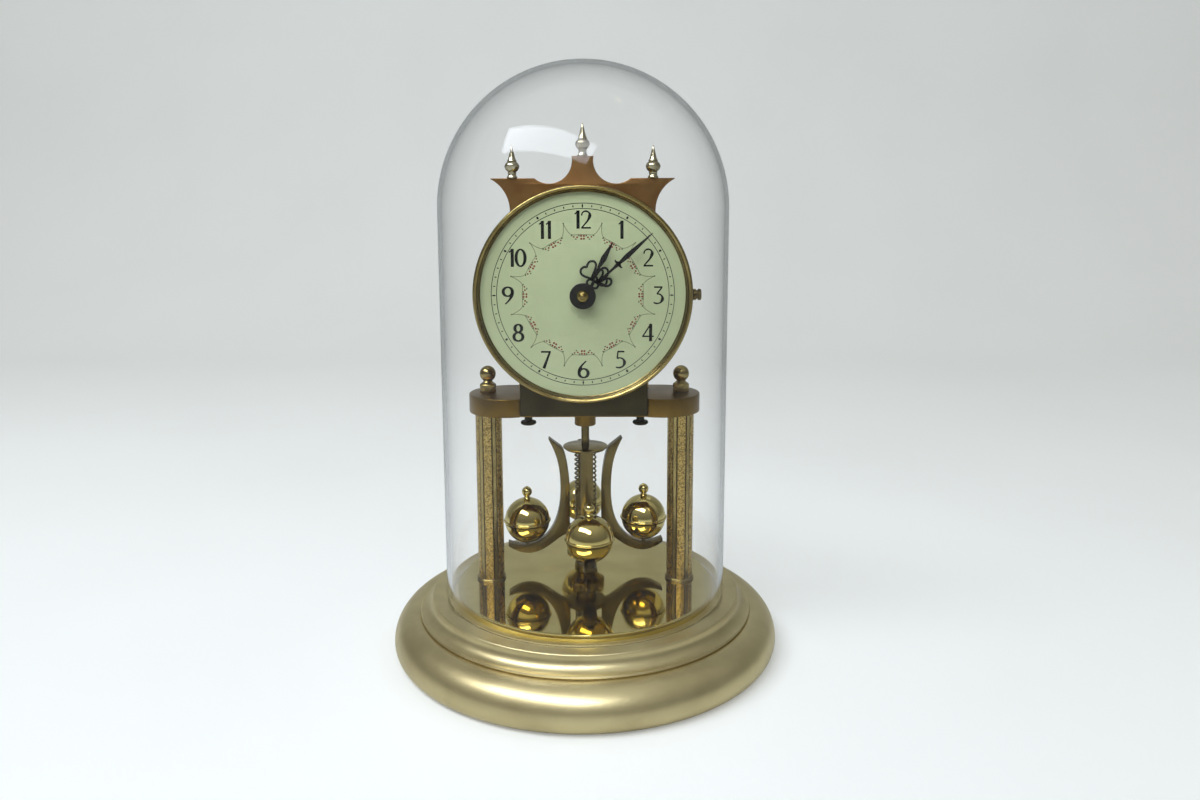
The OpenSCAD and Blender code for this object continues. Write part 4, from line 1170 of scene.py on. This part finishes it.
    def on_swag(self, hour: int, share: float, off: float = 0.0) -> Point:
        """Place along a garland.

        Args:
            hour: Hour that the garland hangs at.
            share: -1 and 1 at its cusps, 0 in the middle.
            off: Distance outwards from its line.

        Returns:
            The place on the dial.
        """
        radius = self.swag_low + self.swag_rise * abs(share) ** 7
        return self.polar(radius + off, 30 * hour + 15 * share)

    def garlands(self) -> tuple[Shape, Shape]:
        """Prints twelve swags of leaves with a rose knot in the middle of each.

        Returns:
            The leaves with their stems, and the roses.
        """
        leaves = Shape()
        roses = Shape()
        petal = 0.5
        petals_at = 0.95
        knot_off = -1.3
        leaf = (0.28, 0.46)
        leaf_step = 0.23
        leaf_near = -0.5
        leaf_far = -2.0
        berry = 0.34
        berry_off = 0.3
        knot = [(x, y, petal) for x, y in arc((0, 0), petals_at, petals_at, 45, 315, 3)]
        spray = ((2.7, 0.1, 0.44), (4.3, 0.4, 0.4))
        knot += [(side * x, y, size) for side in (-1, 1) for x, y, size in spray]
        for hour in range(12):
            line = [(*self.on_swag(hour, i / 20 - 1), self.swag_line) for i in range(41)]
            leaves.add(Shape.ribbon(line, self.skin))
            for k in (-3, -2, -1, 1, 2, 3):
                x, y = self.on_swag(hour, leaf_step * k, leaf_near if k % 2 else leaf_far)
                leaves.add(self.dot(x, y, *leaf, 30 * hour + 40 * k, 7))
            for along, out, size in knot:
                x, y = self.on_swag(hour, along / self.swag_half, out + knot_off)
                roses.add(self.dot(x, y, size, size, 0, 8))
            x, y = self.on_swag(hour, 1.0, berry_off)
            leaves.add(self.dot(x, y, berry, berry, 0, 8))
        return leaves, roses

    def build(self) -> None:
        """Builds the print, bezel and side screw, and dresses the dial."""
        dress(("dial",), DIAL_ENAMEL)
        upright = facing(0, self.front, DIAL_Z)
        leaves, roses = self.garlands()
        roses = roses.moved(at(0, 0, self.skin / 2))
        prints = (("numerals_and_track", self.chapter(), BLACK_INK), ("garland_leaves", leaves, LEAF_INK),
                  ("garland_roses", roses, ROSE_INK))
        for name, shape, ink in prints:
            place("dial_" + name, shape.moved(upright), [ink], "frame", "dial_enamel")
        self.build_bezel()
        self.build_screw()

    def slope(self, middle: Vector) -> int:
        """Number of a bezel face's finish: 1 on the inner slope, 0 elsewhere."""
        return 1 if math.hypot(middle.x, middle.y) < self.bezel - 2.2 else 0

    def build_bezel(self) -> None:
        """Builds the bezel: skirt, round outer bead, fine groove and inner bevel."""
        r = self.bezel
        front = self.bezel_deep
        profile = [(49.8, 0.0), (r - 0.7, 0.0), (r - 0.7, front - 2.7)]
        profile += arc((r - 1.0, front - 1.75), 1.0, 1.45, -50, 130, 20)
        profile += [(r - 1.85, front - 0.75), (r - 2.05, front - 1.2), (r - 2.25, front - 0.95)]
        profile += [(r - 2.5, front - 1.15), (48.6, 7.2), (48.2, 6.9), (48.2, 6.6), (49.8, 6.6)]
        ring = Shape.turned(profile, 192, closed=True).paint(self.slope)
        shape = ring.moved(facing(0, self.bezel_back, DIAL_Z))
        # The inner slope takes the darker brass as painted shade
        place("bezel_turned", shape, [POLISHED_BRASS, SHADE_TONED_BRASS], "frame", "brass", ("bezel",), sharp=30)

    def build_screw(self) -> None:
        """Builds the knurled screw at the side of the bezel."""
        knob = [(0, 0), (1.2, 0), (1.2, 1.6), (1.7, 1.6), (1.7, 2.2), (2.5, 2.3), (2.7, 2.5), (2.7, 3.5)]
        knob += [(2.1, 3.8), (2.1, 4.3), (2.7, 4.6), (2.7, 5.5), (2.4, 5.9), (1.6, 6.0), (0, 6.0)]
        spot = at(self.screw_x, self.screw_y, DIAL_Z) @ Matrix.Rotation(math.pi / 2, 4, "Y")
        shape = Shape.turned(knob, 96, knurled(0.2, 7.5, beyond=2.4)).moved(spot)
        # The screw takes the darker brass as painted shade
        place("bezel_screw_knurled", shape, [SHADE_TONED_BRASS], "frame", "brass", ("bezel_screw",), sharp=30)


@dataclass
class Hands:
    """Stamped hands with looped ornament, and their nut."""

    thickness: float = 0.5
    wire: float = 1.05
    eye_r: float = 1.5
    cross_at: float = 22.4
    hour_back: float = -29.6
    minute_back: float = -31.6
    nut_back: float = -32.1
    hour_turn: float = 29.5
    minute_turn: float = 48.0

    def disc(self, outer: float, inner: float) -> Shape:
        """A flat washer round the hub.

        Args:
            outer: Its radius.
            inner: Radius of its hole.

        Returns:
            The washer.
        """
        t = self.thickness
        profile = [(inner, 0), (outer, 0), (outer, t * 0.6), (outer - 0.25, t), (inner, t)]
        return Shape.turned(profile, 72, closed=True)

    def loop(self, points: list[Point]) -> Shape:
        """A closed wire loop of a hand, on both sides of its shaft.

        Args:
            points: Points of the loop on the right side.

        Returns:
            Both loops.
        """
        shape = Shape()
        for side in (1, -1):
            path = smooth([(side * x, y, self.wire) for x, y in points], 8, closed=True)
            shape.add(Shape.ribbon(path, self.thickness, closed=True))
        return shape

    def eye(self, height: float) -> Shape:
        """The small wire ring of a hand at a height above the hub."""
        path = [(x, y, self.wire) for x, y in arc((0, height), self.eye_r, self.eye_r, 0, 345, 23)]
        return Shape.ribbon(path, self.thickness, closed=True)

    def blade(self, widths: list[Point]) -> Shape:
        """Shaft and lance blade of a hand, from pairs of height and width."""
        return Shape.ribbon([(0, y, width) for y, width in widths], self.thickness)

    def hour(self) -> Shape:
        """Hour hand: washer, ring, a pair of hearts and a lance blade.

        Returns:
            The hand, pointing up.
        """
        heart = [(0.6, 8.9), (1.75, 8.75), (3.7, 8.4), (5.7, 8.7), (6.7, 10.3), (6.05, 12.1), (5, 12.65)]
        heart += [(5.2, 13.75), (4.95, 15.5), (3.4, 16.6), (1.75, 15.85), (1, 13.6), (0.7, 11)]
        lance = [(8.5, 1.2), (12, 1.1), (14.6, 1.1), (17, 1.9), (20, 2.8), (24, 1.8)]
        lance += [(28.4, 0.35), (28.7, 0.1)]
        return self.disc(4.6, 2.5).add(self.eye(7.1)).add(self.loop(heart)).add(self.blade(lance))

    def minute(self) -> Shape:
        """Minute hand: washer, ring, a pair of petals, a small cross and a lance blade.

        Returns:
            The hand, pointing up.
        """
        petal = [(0.5, 9.3), (1.65, 10.5), (3.5, 11), (4.5, 12.5), (4.3, 14), (3, 14.9), (1.55, 14.1)]
        shape = self.disc(6.1, 1.5).add(self.eye(7.7)).add(self.loop(petal + [(0.75, 12.2)]))
        cross = [(-2.5, 0.1, 0.5), (-1.5, -0.2, 1.0), (0, 0.1, 1.9), (1.5, -0.2, 1.0), (2.5, 0.1, 0.5)]
        shape.add(Shape.ribbon(smooth(cross, 5), self.thickness), at(0, self.cross_at, 0))
        lance = [(9, 1.2), (14, 1.1), (19.6, 1.2), (21, 1.7), (23.6, 1.5), (28, 2.4), (34, 1.7)]
        return shape.add(self.blade(lance + [(43.4, 0.35), (43.8, 0.1)]))

    def build(self) -> None:
        """Builds both hands and the nut."""
        shape = self.hour().moved(facing(0, self.hour_back, DIAL_Z, self.hour_turn))
        place("hour_hand_looped", shape, [BLACK_LACQUER], "hour", "black_lacquer", ("hour_hand",))
        shape = self.minute().moved(facing(0, self.minute_back, DIAL_Z, self.minute_turn))
        place("minute_hand_looped", shape, [BLACK_LACQUER], "minute", "black_lacquer", ("minute_hand",))
        profile = [(1.5, 0), (2.7, 0), (2.7, 0.9), (2.4, 1.3), (1.7, 1.4)]
        profile += arc((0, 1.4), 1.5, 1.2, 8, 90, 10)
        shape = Shape.turned(profile, 64).moved(facing(0, self.nut_back, DIAL_Z))
        place("hand_nut_domed", shape, [POLISHED_BRASS], "minute", "brass", ("hand_nut",))


@dataclass
class Pendulum:
    """Torsion pendulum: arms, balls with their knobs, nut, coil spring and regulating disc."""

    turn: float = 4.5
    orbit: float = 31.4
    ball: float = 12.0
    ball_z: float = 58.6
    gap: float = 1.6
    hub_z: float = 50.8
    disc_z: float = 97.7
    arm_width: float = 6.5
    nut: float = 10.0
    nut_z: float = 35.0
    coil: float = 5.5
    wire: float = 0.5
    coil_turns: int = 18
    hub_top: float = 2.5
    disc_gap: float = 1.35

    def around(self, shape: Shape, reach: float, height: float,
               spots: tuple[int, ...] = (0, 1, 2, 3)) -> Shape:
        """Repeats a shape on the arms.

        Args:
            shape: The shape on one arm.
            reach: Distance from the axis.
            height: Height of the shape's origin.
            spots: Which arms: 0 right, 1 back, 2 left, 3 front.

        Returns:
            The shapes.
        """
        every = Shape()
        for i in spots:
            turn = Matrix.Rotation(math.radians(self.turn + 90 * i), 4, "Z")
            every.add(shape, at(0, AXIS_Y, 0) @ turn @ at(reach, 0, height))
        return every

    def arm(self, horned: bool) -> list[Point]:
        """Outline of a curved arm: horn or plain top, waist, leg and the foot below its ball.

        Args:
            horned: Whether it is a side arm, which ends in a horn.

        Returns:
            Points as (distance from the axis, height).
        """
        low = self.ball_z - self.ball - self.gap
        out = self.orbit
        hub = self.hub_z
        disc = self.disc_z
        waist = 13.4
        waist_z = hub + 25
        tip = (19.6, disc + 5.3)
        end = out + 10.2
        heel = low - 3.9
        inner = 8.6
        rest = 12.25
        stub = rest + 1.6
        top = tip if horned else (stub, disc + 1)
        bend = (tip[0] - 4, tip[1] - 8) if horned else (stub, disc - 8)
        peak = (tip[0] - 0.5, tip[1] + 0.3) if horned else (rest + 0.6, disc + 1)
        outline = cubic([top, bend, (waist + 0.2, waist_z + 14), (waist, waist_z)], 24)
        outline += cubic([(waist, waist_z), (waist, waist_z - 14), (waist + 4, low + 2), (out, low)], 24)[1:]
        outline += cubic([(out, low), (out + 4, low - 0.3), (end - 3, low + 0.8), (end, low + 1.8)], 12)[1:]
        outline += cubic([(end, low + 0.2), (end - 3, low - 1.9), (out + 4, heel), (out - 1, heel)], 14)
        outline += cubic([(out - 1, heel), (waist + 8, heel + 0.4), (waist + 3, hub - 2),
                          (inner + 2.6, hub)], 18)[1:]
        outline += [(inner, hub)]
        outline += cubic([(inner, waist_z), (inner + 0.2, waist_z + 10), (rest - 2, disc - 5),
                          (rest - 0.6, disc - 1)], 14)
        return outline + [(rest + 0.4, disc + 0.6), peak]

    def build(self) -> None:
        """Builds all the pieces of the pendulum."""
        # Rod, hub and arms take the darker brass as painted shade, for the dark surroundings they mirror
        dress(("pendulum_rod", "pendulum_hub"), SHADE_TONED_BRASS)
        arms = Shape()
        for horned, spots in ((True, (0, 2)), (False, (1, 3))):
            arm = Shape.plate([self.arm(horned)], self.arm_width, 0.3).moved(FACE_ON)
            arms.add(self.around(arm, 0, 0, spots))
        place("pendulum_arms_curved", arms, [SHADE_TONED_BRASS], "pendulum", "brass", ("pendulum_arms",))
        self.build_balls()
        self.build_nut()
        self.build_coil()
        self.build_disc()

    @staticmethod
    def seam(middle: Vector) -> int:
        """Number of a ball face's finish: 1 in the groove below the bead, which is painted dark as shade, 0
        elsewhere.
        """
        return 1 if -1.36 < middle.z < -0.74 else 0

    def build_balls(self) -> None:
        """Builds the balls with a bead at their equators and painted shade in the groove below it, and the
        knobs on them.
        """
        r = self.ball
        profile = arc((0, 0), r, r, -90, -6.5, 40) + [(r - 0.4, -1.2), (r - 0.4, -0.8)]
        profile += arc((r - 0.05, 0), 0.65, 0.75, -86, 88, 14) + arc((0, 0), r, r, 4, 90, 40)
        balls = self.around(Shape.turned(profile, 96).paint(self.seam), self.orbit, self.ball_z)
        # The groove below each bead is painted dark as shade
        place("pendulum_balls_spun", balls, [MIRROR_BRASS, SHADE_PAINTED_BRASS],
              "pendulum", "mirror_brass", ("pendulum_balls",), sharp=32)
        knob = [(0, -17.1), (1, -17.1), (1, r - 0.4), (1.9, r - 0.1), (2.0, r + 0.2), (1.8, r + 0.55)]
        knob += [(1.3, r + 0.9), (1.25, r + 1.25)] + arc((0, r + 3.5), 2.7, 2.7, -58, 62, 20)
        knob += [(0.9, r + 6.1), (0.5, r + 6.4), (0, r + 6.6)]
        knobs = self.around(Shape.turned(knob, 56), self.orbit, self.ball_z)
        place("ball_knobs_turned", knobs, [MIRROR_BRASS], "pendulum", "mirror_brass", ("ball_finials",))

    def scalloped(self, degrees: float, radius: float, height: float) -> float:
        """Radius of the nut with the scallops of its rim.

        Args:
            degrees: Angle round the nut.
            radius: Plain radius there.
            height: Height, which changes nothing.

        Returns:
            The radius with the scallop.
        """
        if radius <= self.nut - 0.8:
            return radius
        return radius - 0.45 * max(0.0, math.cos(math.radians(24 * degrees)))

    def build_nut(self) -> None:
        """Builds the knurled nut below the hub."""
        r = self.nut
        top = self.hub_z - self.nut_z
        nut = [(2.1, 0), (5, 0), (6, 1), (r - 1.2, 3.4), (r - 0.3, 3.8), (r, 4.2), (r, 7.8), (r - 0.3, 8.2)]
        nut += [(r - 1, 8.8), (6.4, 10.2), (5.7, 10.7), (5.7, top), (2.1, top)]
        shape = Shape.turned(nut, 192, self.scalloped, closed=True).moved(at(0, AXIS_Y, self.nut_z))
        place("pendulum_nut_knurled", shape, [POLISHED_BRASS], "pendulum", "brass", ("pendulum_nut",),
              sharp=30)

    def build_coil(self) -> None:
        """Builds the coil spring between hub and disc, with closed turns at both ends."""
        closed = 0.9
        pitch = 1.05
        low = self.hub_z + self.hub_top + self.wire
        high = self.disc_z - self.disc_gap - self.wire
        turns = self.coil_turns
        chords = 24
        path = []
        for i in range(turns * chords + 1):
            done = i / chords
            ease = min(max((done - closed) / (turns - 2 * closed), 0.0), 1.0)
            ends = pitch * (min(done, closed) - min(turns - done, closed) + closed)
            rise = ends + ease * (high - low - 2 * closed * pitch)
            t = 2 * math.pi * done
            path.append(Vector((self.coil * math.cos(t), self.coil * math.sin(t), low + rise)))
        shape = Shape.tube(path, self.wire, 10).moved(at(0, AXIS_Y, 0))
        place("regulator_coil", shape, [POLISHED_BRASS], "pendulum", "brass", ("regulator_spring",), sharp=60)

    def build_disc(self) -> None:
        """Builds the regulating disc with its bevelled rim."""
        disc = [(2.15, 0), (10.2, 0), (10.6, 0.15), (11.8, 1.3), (11.9, 1.5), (11.85, 1.85), (11.6, 2.0)]
        disc += [(2.4, 2.0), (2.15, 1.8)]
        shape = Shape.turned(disc, 96, closed=True).moved(at(0, AXIS_Y, self.disc_z - 1))
        place("regulating_disc_turned", shape, [POLISHED_BRASS], "regulator", "brass", ("regulator_disc",))


@dataclass
class Studio:
    """Camera, floor with backdrop, and a soft lamp."""

    eye: tuple[float, float, float] = (8.7, -450.8, 219.5)
    pitch: float = 7.95
    yaw: float = 0.089
    roll: float = -0.158
    lens: float = 27.0
    sensor: float = 36.0
    shift: float = -0.0489
    reach_m: float = 30.0
    back_m: float = 0.9
    bend_m: float = 0.5
    height_m: float = 4.0

    def build_camera(self) -> None:
        """Sets the camera at the photograph's place and angle."""
        data = bpy.data.cameras.new("camera")
        data.sensor_width = self.sensor
        data.lens = self.lens
        data.shift_y = self.shift
        data.clip_start = 0.02
        camera = bpy.data.objects.new("camera", data)
        look = Matrix.Rotation(math.radians(self.yaw), 4, "Z")
        look = look @ Matrix.Rotation(math.radians(90 - self.pitch), 4, "X")
        look = look @ Matrix.Rotation(math.radians(self.roll), 4, "Z")
        camera.matrix_world = Matrix.Translation(Vector(self.eye) * MM) @ look
        bpy.context.scene.collection.objects.link(camera)
        bpy.context.scene.camera = camera

    def build_floor(self) -> None:
        """Builds a floor that runs up into a backdrop in one sweep."""
        back = self.back_m
        bend = self.bend_m
        side = [(-self.reach_m, 0.0), (back, 0.0)] + arc((back, bend), bend, bend, -90, 0, 16)[1:]
        side += [(back + bend, self.height_m)]
        mesh = bpy.data.meshes.new("studio_floor")
        points = [(x, y, z) for y, z in side for x in (-self.reach_m, self.reach_m)]
        faces = [(2 * i, 2 * i + 1, 2 * i + 3, 2 * i + 2) for i in range(len(side) - 1)]
        mesh.from_pydata(points, [], faces)
        mesh.polygons.foreach_set("use_smooth", [True] * len(faces))
        mesh.materials.append(FLOOR_PAINT.material())
        floor = bpy.data.objects.new("studio_floor", mesh)
        bpy.context.scene.collection.objects.link(floor)

    def lamp(self, name: str, place_mm: tuple[float, float, float], size: Point, power: float,
             aim_mm: tuple[float, float, float], colour: str) -> None:
        """Hangs a soft box.

        Args:
            name: Name of the lamp.
            place_mm: Where it hangs.
            size: Width and height of its screen in metres.
            power: Power in watts.
            aim_mm: Where it points.
            colour: Colour of its light.
        """
        data = bpy.data.lights.new(name, "AREA")
        data.shape = "RECTANGLE"
        data.size = size[0]
        data.size_y = size[1]
        data.energy = power
        data.color = linear(colour)[:3]
        lamp = bpy.data.objects.new(name, data)
        way = (Vector(aim_mm) - Vector(place_mm)).to_track_quat("-Z", "Y").to_matrix().to_4x4()
        lamp.matrix_world = Matrix.Translation(Vector(place_mm) * MM) @ way
        bpy.context.scene.collection.objects.link(lamp)

    def build_light(self) -> None:
        """Hangs the lamp and sets the pale world round the scene."""
        scene = bpy.context.scene
        scene.view_settings.view_transform = "Standard"
        world = bpy.data.worlds.new("studio_world")
        world.use_nodes = True
        scene.world = world
        tree = world.node_tree
        ground = tree.nodes["Background"]
        where = add_node(tree, "ShaderNodeTexCoord")
        split = add_node(tree, "ShaderNodeSeparateXYZ", {}, {"Vector": where.outputs["Generated"]})
        stops = [(0.0, "#9C9C98"), (0.12, "#868784"), (0.35, "#989996"), (0.7, "#C4C6C4"), (1.0, "#E6E8E6")]
        ramp = add_node(tree, "ShaderNodeValToRGB", {"stops": stops}, {"Fac": split.outputs["Z"]})
        tree.links.new(ramp.outputs["Color"], ground.inputs["Color"])
        shown = add_node(tree, "ShaderNodeMapRange", {"To Min": 0.6, "To Max": 1.7},
                         {"Value": seen_directly(tree)})
        tree.links.new(shown.outputs["Result"], ground.inputs["Strength"])
        self.lamp("key_box", place_mm=(-420, -630, 1090), size=(1.43, 0.38), power=15,
                  aim_mm=(0, -60, 250), colour="#EEF4FF")


def main() -> None:
    """Builds the clock and its studio piece by piece."""
    logging.basicConfig(level=logging.INFO, format="%(name)s: %(message)s")
    studio = Studio()
    studio.build_camera()
    studio.build_floor()
    studio.build_light()
    for part in (Base(), Dome(), Pillars(), Movement(), Dial(), Hands(), Pendulum()):
        log.info("building %s", type(part).__name__)
        part.build()


if __name__ == "__main__":
    main()
